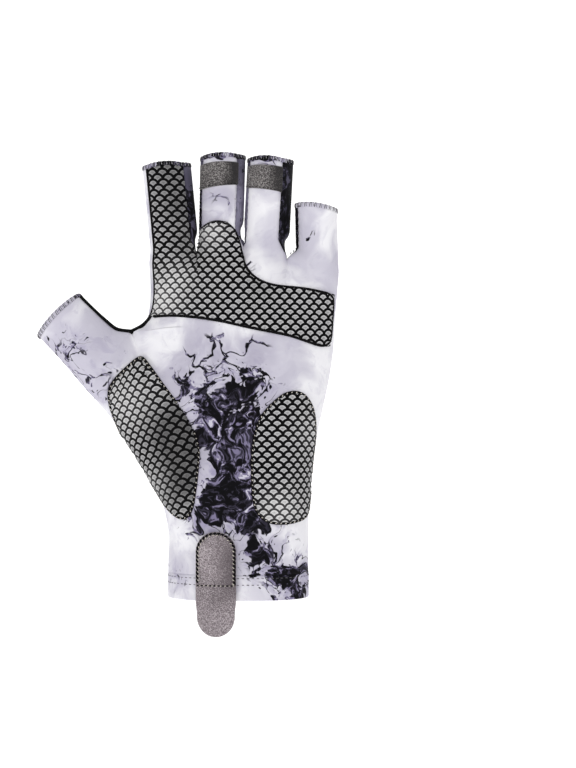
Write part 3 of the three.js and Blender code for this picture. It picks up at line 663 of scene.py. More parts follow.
def nearest(points: Array, targets: Array, block: int = 4000) -> tuple[Array, Array]:
    """Distance from each point to the nearest target, and which target that is.

    Args:
        points, targets: Two sets of points.
        block: How many points are looked up at once.

    Returns:
        A distance and a target's number for each point.
    """
    away = np.empty(len(points))
    which = np.empty(len(points), dtype=int)
    size = (targets ** 2).sum(axis=1)
    for start in range(0, len(points), block):
        part = points[start:start + block]
        square = size[None, :] - 2 * part @ targets.T
        which[start:start + block] = square.argmin(axis=1)
        best = square.min(axis=1) + (part ** 2).sum(axis=1)
        away[start:start + block] = np.sqrt(np.maximum(best, 0))
    return away, which


def spread(count: int, crowding: float = 0.5) -> Array:
    """Shares from 0 to 1, closer together near both ends by the crowding."""
    t = np.linspace(0, 1, count + 1)
    return lerp(t, 0.5 - 0.5 * np.cos(np.pi * t), crowding)


@dataclass(frozen=True)
class Fineness:
    """How many steps a side's grid has in each stretch."""

    hem: int
    lower: int
    upper: int
    finger: int
    thumb: int
    across: int


PANEL_FINENESS = Fineness(hem=12, lower=110, upper=34, finger=40, thumb=30, across=24)
GRIP_FINENESS = Fineness(hem=10, lower=270, upper=90, finger=100, thumb=40, across=50)


class HandSide:
    """The palm or the back as grids: one for each strip of the hand and one for each finger."""

    def __init__(self, side: Side, fineness: Fineness) -> None:
        """Works out the grids and their lengths across and up.

        Args:
            side: Palm or back.
            fineness: Steps of the grids.
        """
        self.side = side
        self.t = spread(fineness.across)
        self.lower_s = np.concatenate([
            np.linspace(0, FORM.hem_share, fineness.hem + 1),
            np.linspace(FORM.hem_share, 1, fineness.lower + 1)[1:]])
        self.upper_s = np.linspace(0, 1, fineness.upper + 1)[1:]
        self.hem_row = fineness.hem
        self.crotch_row = len(self.lower_s) - 1
        low, high = FORM.lower(self.lower_s), FORM.upper(self.upper_s)
        self.hand: dict[int, Array] = {}
        self.fingers: dict[int, Array] = {}
        for strip in Strip:
            parts = [FORM.hand_points(low, strip, self.t, side)]
            if strip != Strip.THUMB:
                parts.append(FORM.hand_points(high, strip, self.t, side, self.upper_s))
            self.hand[strip] = np.concatenate(parts)
            steps = fineness.thumb if strip == Strip.THUMB else fineness.finger
            s = np.linspace(0, 1, steps + 1)[1:]
            fresh = FORM.finger_points(strip, s, self.t, side)
            self.fingers[strip] = np.concatenate([self.hand[strip][-1:], fresh])
        self._measure()

    def _measure(self) -> None:
        """Lengths across the cloth, from line 3 in the hand and from each finger's middle above it."""
        self.across: dict[tuple[str, int], Array] = {}
        rows = len(self.hand[Strip.INDEX])
        start = np.zeros(rows)
        for strip in Strip:
            grid = self.hand[strip]
            run = run_lengths(grid)
            begin = start[:len(grid)]
            self.across["hand", strip] = run + begin[:, None]
            grown = start.copy()
            grown[:len(grid)] += run[:, -1]
            start = grown
        middle = self.across["hand", Strip.RING][:, 0]
        low = self.hand[Strip.THUMB].shape[0]
        for strip in Strip:
            size = low if strip == Strip.THUMB else rows
            self.across["hand", strip] = self.across["hand", strip] - middle[:size, None]
            grid = self.fingers[strip]
            run = run_lengths(grid)
            half = len(self.t) // 2
            root = self.across["hand", strip][-1, half]
            self.across["finger", strip] = root + run - run[:, half:half + 1]

    def sheet(self, first_row: int = 0) -> Sheet:
        """The side as one welded sheet, from a row of the hand up to the openings.

        Args:
            first_row: The row at which it starts.

        Returns:
            The sheet, facing out of the glove.
        """
        parts = []
        for strip in Strip:
            for name, grid in (("hand", self.hand[strip][first_row:]), ("finger", self.fingers[strip])):
                across = self.across[name, strip]
                across = across[first_row:] if name == "hand" else across
                parts.append(Sheet.grid(grid, u=across, v=grid[:, :, 2]))
        whole = Sheet.joined(parts).welded()
        return whole if self.side is Side.PALM else whole.flipped()

    def seam_run(self, left_strip: int) -> Array:
        """A seam's points down the right of one finger, round the crotch and up the left of the next."""
        down = self.fingers[left_strip][::-1, -1]
        rows = self.hand[left_strip + 1][self.crotch_row + 1:, 0] if left_strip == Strip.THUMB else down[:0]
        return np.concatenate([down, rows, self.fingers[left_strip + 1][1:, 0]])


class Web:
    """Cloth between two neighbouring fingers, from the palm's seam to the back's."""

    def __init__(self, left_strip: int, palm: HandSide, back: HandSide, across: int = 18) -> None:
        """Works out the grid, whose middle swells out past the seams by half a sine wave.

        Args:
            left_strip: The strip to the web's left.
            palm: The palm side.
            back: The back side.
            across: Steps from seam to seam.
        """
        front, rear = palm.seam_run(left_strip), back.seam_run(left_strip)
        self.crotch = len(palm.fingers[left_strip]) - 1
        count = len(front)
        run = np.gradient(front, axis=0)
        outward = unit(np.stack([-run[:, 2], 0 * run[:, 0], run[:, 0]], axis=1))
        index = np.arange(count)
        away = np.where(index < self.crotch, (self.crotch - index) / self.crotch,
                        (index - self.crotch) / (count - 1 - self.crotch))
        opened = smooth(away / (FORM.crotch_rounding * 1.4))
        right = FINGERS[left_strip + 1]
        left_bulge = FORM.thumb_top_bulge
        if left_strip != Strip.THUMB:
            left_bulge = FINGERS[left_strip].right_seam * FINGERS[left_strip].width
        bulge = np.where(index < self.crotch, left_bulge, right.left_seam * right.width)
        bulge = lerp(-FORM.web_sag, bulge, opened)
        j = np.linspace(0, 1, across + 1)
        self.grid = lerp(front[:, None, :], rear[:, None, :], j[None, :, None])
        self.grid = self.grid + (bulge[:, None] * np.sin(np.pi * j))[:, :, None] * outward[:, None, :]
        self.run = run_lengths(front)

    def sheet(self, rows: slice = slice(None)) -> Sheet:
        """Part of the web as a sheet, facing out of the glove.

        Args:
            rows: The rows of its grid that are wanted.

        Returns:
            The sheet.
        """
        grid = self.grid[rows]
        return Sheet.grid(grid, u=run_lengths(grid), v=self.run[rows][:, None]).flipped()


@dataclass
class Path:
    """A line over a surface: points, and the surface's normal at each."""

    points: Array
    normals: Array
    closed: bool = False

    def __post_init__(self) -> None:
        """Measures the line."""
        loop = np.concatenate([self.points, self.points[:1]]) if self.closed else self.points
        self.stations = run_lengths(loop)
        self.length = float(self.stations[-1])

    def at(self, s: Array) -> tuple[Array, Array, Array]:
        """Points, normals and sideways directions at lengths s along the line.

        Args:
            s: Lengths from the start, in any shape.

        Returns:
            Three arrays of vectors.
        """
        shape = s.shape
        s = s.ravel() % self.length if self.closed else np.clip(s.ravel(), 0, self.length)
        wrap = [0] if self.closed else []
        loop = np.concatenate([self.points, self.points[wrap]])
        turn = np.concatenate([self.normals, self.normals[wrap]])
        here, up, ahead = (np.stack([np.interp(s, self.stations, rows[:, k]) for k in range(3)], axis=1)
                           for rows in (loop, turn, np.gradient(loop, axis=0)))
        up = unit(up)
        side = unit(np.cross(up, unit(ahead)))
        return tuple(value.reshape(shape + (3,)) for value in (here, up, side))

    def laid(self, s: Array, sideways: Array, lift: Array) -> Array:
        """Points at lengths s, moved sideways on the surface and lifted off it.

        Args:
            s: Lengths from the start.
            sideways, lift: How far the points are moved.

        Returns:
            The points.
        """
        here, up, side = self.at(s)
        sideways, lift = np.broadcast_to(sideways, s.shape), np.broadcast_to(lift, s.shape)
        return here + side * sideways[..., None] + up * lift[..., None]


def tubes(paths: Array, radius: Array, sides: int = 6, closed: bool = False,
          flatten: float = 1.0, up: Array | None = None) -> Sheet:
    """Round threads along many paths at once: a ring of points is carried along each path.

    Where a path is open, a ring shrunk to a point closes each of its ends.

    Args:
        paths: n paths of m points.
        radius: The radius at each of the m points, or one for all.
        sides: Points in a ring.
        closed: Whether a path's end joins its start.
        flatten: The ring's height as a share of its width.
        up: A direction for each path point that the ring's height follows.

    Returns:
        The threads as one sheet.
    """
    count, steps, _ = paths.shape
    if closed:
        ahead = unit(np.roll(paths, -1, axis=1) - np.roll(paths, 1, axis=1))
    else:
        ahead = unit(np.gradient(paths, axis=1))
    if up is None:
        up = np.zeros(3) + np.array([0.13, -1.0, 0.21])
    side = unit(np.cross(np.broadcast_to(up, paths.shape), ahead))
    top = np.cross(ahead, side)
    radius = np.broadcast_to(radius, (steps,))
    if not closed:
        paths, side, top = (np.concatenate([part[:, :1], part, part[:, -1:]], axis=1)
                            for part in (paths, side, top))
        radius = np.concatenate([[0.0], radius, [0.0]])
        steps += 2
    turn = 2 * np.pi * np.arange(sides) / sides
    radius = radius[None, :, None, None]
    ring = side[:, :, None, :] * np.cos(turn)[None, None, :, None]
    ring = ring + top[:, :, None, :] * (flatten * np.sin(turn))[None, None, :, None]
    points = (paths[:, :, None, :] + radius * ring).reshape(-1, 3)
    quads = grid_quads(steps, sides, wrap_rows=closed, wrap_columns=True)
    starts = (np.arange(count) * steps * sides)[:, None, None]
    quads = (quads[None] + starts).reshape(-1, 4)
    whole = Sheet(points, quads)
    whole.values["v"] = np.repeat(run_lengths(paths).ravel(), sides)
    whole.values["u"] = np.tile(turn, count * steps)
    return whole


@dataclass(frozen=True)
class Stitch:
    """A stitch in millimetres: a thread that dives into the cloth at both ends.

    The slant is how far it crosses the line that it follows, the lift how high its middle stands,
    and the start where the first one of a row begins.
    """

    length: float
    gap: float
    radius: float
    slant: float = 0.0
    lift: float = 0.12
    start: float = 0.0

    def row(self, path: Path) -> Sheet:
        """A row of these stitches, as arches of half a sine wave.

        Args:
            path: The line that the row follows.

        Returns:
            All the stitches as one sheet.
        """
        first = np.arange(self.start, path.length - self.length, self.length + self.gap)[:, None]
        k = np.linspace(0, 1, 5)[None, :]
        s = first + self.length * k
        arch = np.sin(np.pi * k)
        paths = path.laid(s, self.slant * (k - 0.5), self.lift * arch - self.radius * (1 - arch))
        _, up, _ = path.at(s)
        return tubes(paths, self.radius * np.array([0.35, 0.95, 1, 0.95, 0.35]), sides=6, up=up)


class Palm:
    """Looks up the palm's surface from the front, for what is sewn or printed onto it."""

    CELL = 0.6

    def __init__(self, sheet: Sheet) -> None:
        """Sorts the sheet's points into square cells over X and Z.

        Args:
            sheet: A fine sheet of the palm side.
        """
        self.sheet = sheet
        self.normals = sheet.normals()
        self.corner = sheet.points[:, [0, 2]].min(axis=0) - 3
        size = np.ceil((sheet.points[:, [0, 2]].max(axis=0) + 3 - self.corner) / self.CELL).astype(int)
        self.cells = np.full(size, -1)
        place = self._cell(sheet.points[:, [0, 2]])
        order = np.argsort(-sheet.points[:, 1])
        self.cells[place[order, 0], place[order, 1]] = order
        self.solid = self.cells >= 0
        for _ in range(4):
            for axis, step in ((0, 1), (0, -1), (1, 1), (1, -1)):
                moved = np.roll(self.cells, step, axis=axis)
                self.cells = np.where(self.cells < 0, moved, self.cells)

    def _cell(self, xz: Array) -> Array:
        """The cell that each X and Z falls in."""
        place = ((xz - self.corner) / self.CELL).astype(int)
        return np.clip(place, 0, np.array(self.cells.shape) - 1)

    def lift(self, xz: Array, height: float = 0.0) -> tuple[Array, Array]:
        """Points on the palm at X and Z, raised along the normal, and the normals there.

        Args:
            xz: X and Z of the places.
            height: How far they are raised.

        Returns:
            Points and normals.
        """
        cell = self._cell(xz)
        which = self.cells[cell[:, 0], cell[:, 1]]
        base, normal = self.sheet.points[which], self.normals[which]
        off = xz - base[:, [0, 2]]
        steep = np.minimum(normal[:, 1], -0.25)
        y = base[:, 1] - (normal[:, 0] * off[:, 0] + normal[:, 2] * off[:, 1]) / steep
        points = np.stack([xz[:, 0], y, xz[:, 1]], axis=1)
        return points + height * normal, normal

    def covers(self, xz: Array) -> Array:
        """Whether the palm lies behind each X and Z."""
        cell = self._cell(xz)
        return self.solid[cell[:, 0], cell[:, 1]]

    def path(self, xz: Array, height: float = 0.0, closed: bool = False) -> Path:
        """A line over the palm through X and Z."""
        points, normals = self.lift(xz, height)
        return Path(points, normals, closed)


def spline(points: Array, closed: bool, steps: int = 10) -> Array:
    """A Catmull-Rom curve through points, with that many steps between neighbours.

    Args:
        points: The points.
        closed: Whether the last joins the first.
        steps: Steps between two of them.

    Returns:
        The curve's points.
    """
    count = len(points)
    last = count if closed else count - 1
    index = np.repeat(np.arange(last), steps)
    t = np.tile(np.arange(steps) / steps, last)[:, None]
    near = [points[(index + k) % count] if closed else points[np.clip(index + k, 0, count - 1)]
            for k in (-1, 0, 1, 2)]
    curve = catmull(*near, t)
    return curve if closed else np.concatenate([curve, points[-1:]])


def inside(points: Array, outline: Array) -> Array:
    """Whether each point lies in a closed outline, by counting the edges that a ray to +X crosses.

    Args:
        points: X and Z of the points.
        outline: X and Z of the outline's corners.

    Returns:
        True or False for each point.
    """
    x, z = points[:, 0], points[:, 1]
    hit = np.zeros(len(points), dtype=bool)
    for (ax, az), (bx, bz) in zip(outline, np.roll(outline, -1, axis=0)):
        spans = (az > z) != (bz > z)
        cross = ax + (z - az) * (bx - ax) / (bz - az if bz != az else 1.0)
        hit ^= spans & (x < cross)
    return hit


def scale_net(u: Array, v: Array, pitch: float) -> Array:
    """Distance to the nearest line of a fish-scale net.

    The lines are rows of half circles of radius pitch / 2. Each row stands on the crowns of the
    row below, half a pitch along.

    Args:
        u, v: Places across and up the cloth.
        pitch: The width of one scale.

    Returns:
        A distance for each place.
    """
    radius = pitch / 2
    row = np.floor(v / radius)
    best = np.full(u.shape, pitch)
    for step in (0, -1):
        rank = row + step
        x = (u - (rank % 2) * radius + radius) % pitch - radius
        y = v - rank * radius
        best = np.minimum(best, np.abs(np.hypot(x, y) - radius))
    return best


def mesh_object(name: str, sheet: Sheet, *materials: Material) -> bpy.types.Object:
    """Puts a sheet into a smooth mesh in metres, and its object into the scene.

    Args:
        name: The object's name.
        sheet: The sheet.
        materials: Its materials.

    Returns:
        The object.
    """
    mesh = bpy.data.meshes.new(name)
    mesh.from_pydata((sheet.points * METRES).tolist(), [], sheet.quads.tolist())
    mesh.polygons.foreach_set("use_smooth", np.ones(len(mesh.polygons), dtype=bool))
    for material in materials:
        mesh.materials.append(material)
    return linked(name, mesh)


def linked(name: str, data: bpy.types.ID) -> bpy.types.Object:
    """An object in the scene that shows a mesh, a light or a camera."""
    thing = bpy.data.objects.new(name, data)
    bpy.context.scene.collection.objects.link(thing)
    return thing


def make_object(name: str, sheets: Sheet | list[Sheet], *finishes: "Finish",
                wall: float = 0.0, slot: str = "", replaces: tuple[str, ...] = ()) -> bpy.types.Object:
    """Dresses a sheet's mesh, merges its doubles, gives it a wall if asked, and ties it to the frame.

    Args:
        name: The piece's name.
        sheets: One sheet, or several with a finish each.
        finishes: The finishes. The last also dresses the inside of a wall.
        wall: The wall's thickness inwards from the sheet, in millimetres.
        slot: The record's material slot; not used.
        replaces: The nodes that the piece stands for.

    Returns:
        The object.
    """
    sheet = sheets if isinstance(sheets, Sheet) else Sheet.joined(sheets)
    thing = mesh_object(name, sheet, *(finish.material for finish in finishes))
    mesh = thing.data
    if not isinstance(sheets, Sheet):
        slots = np.repeat(np.arange(len(sheets)), [len(part.quads) for part in sheets])
        mesh.polygons.foreach_set("material_index", np.minimum(slots, len(finishes) - 1))
    for key, value in sheet.values.items():
        if key in ("u", "v"):
            continue
        attribute = mesh.attributes.new(key, "FLOAT", "POINT")
        attribute.data.foreach_set("value", value.astype(np.float32))
    if "u" in sheet.values:
        corners = np.empty(len(mesh.loops), dtype=np.int32)
        mesh.loops.foreach_get("vertex_index", corners)
        flat = np.stack([sheet.values["u"], sheet.values["v"]], axis=1)[corners] * METRES
        layer = mesh.uv_layers.new(name="Cloth")
        layer.uv.foreach_set("vector", flat.astype(np.float32).ravel())
    welded = bmesh.new()
    welded.from_mesh(mesh)
    bmesh.ops.remove_doubles(welded, verts=welded.verts, dist=1e-8)
    welded.to_mesh(mesh)
    welded.free()
    if wall:
        solid = thing.modifiers.new("wall", "SOLIDIFY")
        solid.thickness = wall * METRES
        solid.offset = -1
        solid.use_even_offset = False
        solid.material_offset = len(finishes) - 1
        solid.material_offset_rim = 0
    if replaces:
        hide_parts(*replaces)
    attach(thing, "root")
    LOG.info("%s: %d points, %d quads", name, len(sheet.points), len(sheet.quads))
    return thing


class Board:
    """Adds nodes to one material and joins them."""

    def __init__(self, name: str) -> None:
        """Starts a material that has only its shader."""
        self.material = bpy.data.materials.new(name)
        self.material.use_nodes = True
        self.tree = self.material.node_tree
        self.shader = self.tree.nodes["Principled BSDF"]

    def node(self, kind: str, **settings: object) -> bpy.types.Node:
        """A node with its settings."""
        made = self.tree.nodes.new(kind)
        for key, value in settings.items():
            setattr(made, key, value)
        return made

    def put(self, socket: Socket, value: object) -> None:
        """Joins an output to a socket, or sets the socket's own value."""
        if isinstance(value, Socket):
            self.tree.links.new(value, socket)
        else:
            socket.default_value = value

    def math(self, operation: str, *values: object, clamp: bool = False) -> Socket:
        """One step of arithmetic."""
        made = self.node("ShaderNodeMath", operation=operation, use_clamp=clamp)
        for socket, value in zip(made.inputs, values):
            self.put(socket, value)
        return made.outputs[0]

    def plus(self, first: object, second: object, clamp: bool = False) -> Socket:
        """Sum of two values."""
        return self.math("ADD", first, second, clamp=clamp)

    def minus(self, first: object, second: object) -> Socket:
        """Difference of two values."""
        return self.math("SUBTRACT", first, second)

    def times(self, first: object, second: object) -> Socket:
        """Product of two values."""
        return self.math("MULTIPLY", first, second)

    def rest(self, share: object) -> Socket:
        """What a share leaves of 1."""
        return self.math("SUBTRACT", 1.0, share)

    def vector(self, operation: str, *values: object) -> Socket:
        """One step of vector arithmetic."""
        made = self.node("ShaderNodeVectorMath", operation=operation)
        for socket, value in zip(made.inputs, values):
            self.put(socket, value)
        return made.outputs[0]

    def place(self, scale: float = 1000.0) -> Socket:
        """Object coordinates times a scale, which gives millimetres as it stands."""
        spot = self.node("ShaderNodeTexCoord").outputs["Object"]
        return self.vector("MULTIPLY", spot, (scale, scale, scale))

    def cloth(self, u_scale: float, v_scale: float) -> Socket:
        """The cloth's own lengths, each times a scale per millimetre."""
        spot = self.node("ShaderNodeUVMap", uv_map="Cloth").outputs[0]
        return self.vector("MULTIPLY", spot, (1000 * u_scale, 1000 * v_scale, 0))

    def part(self, vector: object, axis: int) -> Socket:
        """One component of a vector."""
        split = self.node("ShaderNodeSeparateXYZ")
        self.put(split.inputs[0], vector)
        return split.outputs[axis]

    def value(self, name: str) -> Socket:
        """A value that the mesh holds at its points."""
        return self.node("ShaderNodeAttribute", attribute_name=name).outputs["Fac"]

    def noise(self, vector: object, scale: float, detail: float = 2.0, roughness: float = 0.5,
              distortion: float = 0.0) -> Socket:
        """Cloudy noise from 0 to 1.

        Args:
            vector: The places.
            scale, detail, roughness, distortion: The noise's own settings.

        Returns:
            The noise.
        """
        made = self.node("ShaderNodeTexNoise")
        for key, value in (("Vector", vector), ("Scale", scale), ("Detail", detail),
                           ("Roughness", roughness), ("Distortion", distortion)):
            self.put(made.inputs[key], value)
        return made.outputs["Fac"]

    def cells(self, vector: object, scale: float, feature: str = "DISTANCE_TO_EDGE") -> Socket:
        """A pattern of cells: distance to their edges, or from their middles."""
        made = self.node("ShaderNodeTexVoronoi", feature=feature)
        self.put(made.inputs["Vector"], vector)
        self.put(made.inputs["Scale"], scale)
        return made.outputs["Distance"]

    def step(self, value: object, low: object, high: object) -> Socket:
        """Eases from 0 to 1 as a value goes from low to high."""
        made = self.node("ShaderNodeMapRange", interpolation_type="SMOOTHSTEP")
        for key, item in (("Value", value), ("From Min", low), ("From Max", high)):
            self.put(made.inputs[key], item)
        return made.outputs[0]

    def mix(self, share: object, first: object, second: object) -> Socket:
        """Goes from one colour to another."""
        made = self.node("ShaderNodeMix", data_type="RGBA")
        self.put(made.inputs["Factor"], share)
        for key, colour in (("A", first), ("B", second)):
            socket = next(item for item in made.inputs if item.name == key and item.type == "RGBA")
            self.put(socket, colour)
        return next(item for item in made.outputs if item.type == "RGBA")

    def bump(self, height: object, strength: float, distance: float,
             under: object = None) -> Socket:
        """Tilts the surface by a height, whose full swing is a distance in millimetres."""
        made = self.node("ShaderNodeBump")
        self.put(made.inputs["Height"], height)
        self.put(made.inputs["Strength"], strength)
        self.put(made.inputs["Distance"], distance * METRES)
        if under is not None:
            self.put(made.inputs["Normal"], under)
        return made.outputs[0]

    def finish(self, **sockets: object) -> Material:
        """Sets or joins the shader's sockets, with _ for a space in their names."""
        for key, value in sockets.items():
            self.put(self.shader.inputs[key.replace("_", " ")], value)
        return self.material


def srgb(red: int, green: int, blue: int) -> tuple[float, float, float, float]:
    """A display colour as the linear colour that a shader takes."""
    linear = [((c / 255 + 0.055) / 1.055) ** 2.4 if c > 10 else c / 255 / 12.92 for c in (red, green, blue)]
    return linear[0], linear[1], linear[2], 1.0


@dataclass(frozen=True)
class Blotches:
    """Noise that is eased from 0 to 1 between a low and a high level."""

    scale: float
    low: float
    high: float
    detail: float = 2.0
    roughness: float = 0.5
    distortion: float = 0.0

    def share(self, board: Board, places: Socket) -> Socket:
        """How far a place lies in a blotch."""
        noise = board.noise(places, self.scale, self.detail, self.roughness, self.distortion)
        return board.step(noise, self.low, self.high)


@dataclass(frozen=True)
class PrintedCloth:
    """Smooth knitted stretch cloth with a marbled print of clouds, cells, veins and blots."""

    name: str
    white: Colour = (243, 242, 246)
    cloud: Colour = (204, 201, 214)
    streak: Colour = (160, 154, 182)
    ink: Colour = (12, 11, 15)
    haze: Colour = (172, 167, 186)
    dusk: Colour = (50, 47, 60)
    tint: Colour = (126, 119, 148)
    rib: float = 0.55
    hazes: Blotches = Blotches(0.06, 0.34, 0.6, 3.0, 0.6)
    streaks: Blotches = Blotches(0.15, 0.5, 0.66, 4.0, 0.65)
    specks: Blotches = Blotches(0.32, 0.65, 0.68, 1.5)

    def flow(self, board: Board) -> Socket:
        """Places that noise has moved twice, which draws a pattern out like paint on water."""
        spot = board.place()
        for scale, reach in ((0.04, 30.0), (0.13, 9.0)):
            push = board.node("ShaderNodeTexNoise")
            board.put(push.inputs["Vector"], spot)
            board.put(push.inputs["Scale"], scale)
            board.put(push.inputs["Detail"], 2.0)
            made = board.node("ShaderNodeVectorMath", operation="MULTIPLY_ADD")
            board.put(made.inputs[0], push.outputs["Color"])
            board.put(made.inputs[1], (reach, reach, reach))
            board.put(made.inputs[2], spot)
            spot = made.outputs[0]
        return spot

    def ground(self, board: Board, moved: Socket) -> Socket:
        """White that clouds over, with fine streaks.

        Args:
            board: The material's nodes.
            moved: The places, as flow gives them.

        Returns:
            A colour.
        """
        cover = board.plus(board.value("print_ink"), board.value("print_cells"), clamp=True)
        soft = board.plus(board.noise(moved, 0.03, 2.0, 0.5), board.times(cover, 0.22))
        cloud = board.step(soft, 0.4, 0.62)
        colour = board.mix(cloud, srgb(*self.white), srgb(*self.cloud))
        haze = board.times(self.hazes.share(board, moved), cover)
        colour = board.mix(board.times(haze, 0.75), colour, srgb(*self.haze))
        streak = self.streaks.share(board, moved)
        where = board.plus(0.12, board.times(board.value("print_ink"), 0.8), clamp=True)
        return board.mix(board.times(streak, where), colour, srgb(*self.streak))

    def inked(self, board: Board, moved: Socket) -> Socket:
        """How much ink lies at a place: blots and veins by print_ink, cell edges by print_cells.

        Args:
            board: The material's nodes.
            moved: The places, as flow gives them.

        Returns:
            A share from 0 to 1.
        """
        density = board.value("print_ink")
        blot = board.noise(moved, 0.09, 3.5, 0.55)
        level = board.minus(0.715, board.times(density, 0.31))
        blot = board.step(blot, level, board.plus(level, 0.025))
        fold = board.math("ABSOLUTE", board.minus(board.noise(moved, 0.11, 1.0), 0.5))
        vein = board.rest(board.step(fold, 0.008, 0.02))
        vein = board.times(vein, board.step(density, 0.28, 0.5))
        rim = board.rest(board.step(board.cells(moved, 0.058), 0.022, 0.042))
        rim = board.times(rim, board.step(board.value("print_cells"), 0.3, 0.45))
        speck = board.times(self.specks.share(board, moved), board.step(density, 0.14, 0.3))
        fine = board.math("MAXIMUM", rim, speck)
        return board.math("MAXIMUM", board.math("MAXIMUM", blot, vein), fine, clamp=True)

    def material(self) -> Material:
        """The ground with the ink over it, and the knit's ribs and grain as relief."""
        board = Board(self.name)
        moved = self.flow(board)
        ground = self.ground(board, moved)
        swirl = board.noise(moved, 0.13, 3.5, 0.62, 1.8)
        ink = board.mix(board.step(swirl, 0.46, 0.52), srgb(*self.ink), srgb(*self.dusk))
        ink = board.mix(board.step(swirl, 0.54, 0.58), ink, srgb(*self.tint))
        ink = board.mix(board.step(swirl, 0.62, 0.66), ink, srgb(*self.cloud))
        colour = board.mix(self.inked(board, moved), ground, ink)
        knit = board.math("SINE", board.part(board.cloth(0, 2 * math.pi / self.rib), 1))
        weave = board.noise(board.cloth(2.2, 1.1), 1.0, 2.0)
        relief = board.bump(board.plus(board.times(knit, 0.5), weave), 0.35, 0.12)
        return board.finish(Base_Color=colour, Roughness=0.66, Normal=relief, Sheen_Weight=0.05,
                            Sheen_Roughness=0.45, Specular_IOR_Level=0.06)


@dataclass(frozen=True)
class PlainCloth:
    """Plain knitted cloth in one colour, slightly uneven."""

    name: str
    colour: Colour
    shade: Colour
    shades: Blotches = Blotches(0.12, 0.42, 0.66, 4.0, 0.6, 0.5)

    def material(self) -> Material:
        """Soft blotches of the shade over the colour, and fine ribs."""
        board = Board(self.name)
        spot = board.place()
        colour = board.mix(self.shades.share(board, spot), srgb(*self.colour), srgb(*self.shade))
        grain = board.noise(spot, 2.2, 3.0)
        return board.finish(Base_Color=colour, Roughness=0.75, Sheen_Weight=0.2,
                            Normal=board.bump(grain, 0.4, 0.15))


@dataclass(frozen=True)
class ScaleGrip:
    """Grey microfibre under a raised net of black silicone in fish scales."""

    name: str
    pitch: float
    half_line: float
    cell: Colour = (212, 211, 213)
    core: Colour = (158, 157, 159)
    net: Colour = (4, 4, 5)
    bright_cell: Colour = (240, 239, 238)
    bright_net: Colour = (112, 110, 112)
    shaded_cell: Colour = (54, 53, 54)
    fleck: Colour = (214, 213, 206)
    dust: Colour = (96, 95, 94)
    dusts: Blotches = Blotches(1.6, 0.5, 0.7, 3.0)

    def distance(self, board: Board) -> Socket:
        """The distance to the nearest line of the net, as scale_net has it."""
        spot = board.cloth(1, 1)
        u, v = board.part(spot, 0), board.part(spot, 1)
        radius = self.pitch / 2
        row = board.math("FLOOR", board.math("DIVIDE", v, radius))
        best = None
        for step in (0, -1):
            rank = board.plus(row, step)
            odd = board.times(board.math("FLOORED_MODULO", rank, 2.0), radius)
            turned = board.math("FLOORED_MODULO", board.plus(board.minus(u, odd), radius), self.pitch)
            x = board.minus(turned, radius)
            y = board.minus(v, board.times(rank, radius))
            square = board.plus(board.times(x, x), board.times(y, y))
            away = board.math("ABSOLUTE", board.minus(board.math("SQRT", square), radius))
            best = away if best is None else board.math("MINIMUM", best, away)
        return best

    def material(self) -> Material:
        """The net's colour near its lines, over cells that are darker in the middle and sparkle."""
        board = Board(self.name)
        spot = board.place()
        away = self.distance(board)
        glare = board.value("glare")
        half = board.times(self.half_line, board.rest(board.times(glare, 0.4)))
        net = board.rest(board.step(away, board.minus(half, 0.06), board.plus(half, 0.06)))
        cell = board.mix(board.step(away, 0.5, 1.4), srgb(*self.cell), srgb(*self.core))
        cell = board.mix(board.times(glare, 0.8), cell, srgb(*self.bright_cell))
        # Painted shade: the cells turn darker where the grip lies in shade.
        cell = board.mix(board.times(board.value("wear"), 0.8), cell, srgb(*self.shaded_cell))
        fleck = board.cells(spot, 2.6, "F1")
        sparkle = board.times(board.rest(board.step(fleck, 0.12, 0.3)), 0.5)
        cell = board.mix(sparkle, cell, srgb(*self.fleck))
        cell = board.mix(board.times(self.dusts.share(board, spot), 0.35), cell, srgb(*self.dust))
        line = board.mix(board.times(glare, 0.6), srgb(*self.net), srgb(*self.bright_net))
        colour = board.mix(net, cell, line)
        rough = board.minus(0.7, board.times(net, 0.25))
        nap = board.times(board.noise(spot, 3.4, 3.0), board.rest(net))
        return board.finish(Base_Color=colour, Roughness=rough, Specular_IOR_Level=0.06,
                            Normal=board.bump(nap, 0.5, 0.2))


@dataclass(frozen=True)
class Suede:
    """Brushed microfibre with a short nap, pale sparkles and darker patches."""

    name: str
    colour: Colour
    dark: Colour
    light: Colour
    grain: float = 1.5
    patches: Blotches = Blotches(0.1, 0.35, 0.75)

    def material(self) -> Material:
        """Soft patches by wide noise plus the mesh's painted light and shade, then dark and light grains by
        fine noise.
        """
        board = Board(self.name)
        spot = board.place()
        patch = board.times(self.patches.share(board, spot), 0.25)
        # Random patches plus painted light and shade from the mesh; fewer pale grains where it is darker.
        darkened = board.plus(patch, board.value("wear"), clamp=True)
        colour = board.mix(darkened, srgb(*self.colour), srgb(*self.dark))
        fine = board.noise(spot, self.grain, 1.0, 0.5)
        colour = board.mix(board.times(board.step(fine, 0.5, 0.58), 0.7), colour, srgb(*self.dark))
        sparkle = board.rest(board.step(fine, 0.38, 0.46))
        sparkle = board.times(sparkle, board.minus(0.75, board.times(darkened, 0.72)))
        colour = board.mix(sparkle, colour, srgb(*self.light))
        return board.finish(Base_Color=colour, Roughness=0.9, Sheen_Weight=0.15, Sheen_Roughness=0.5,
                            Specular_IOR_Level=0.1, Normal=board.bump(fine, 0.7, 0.35))


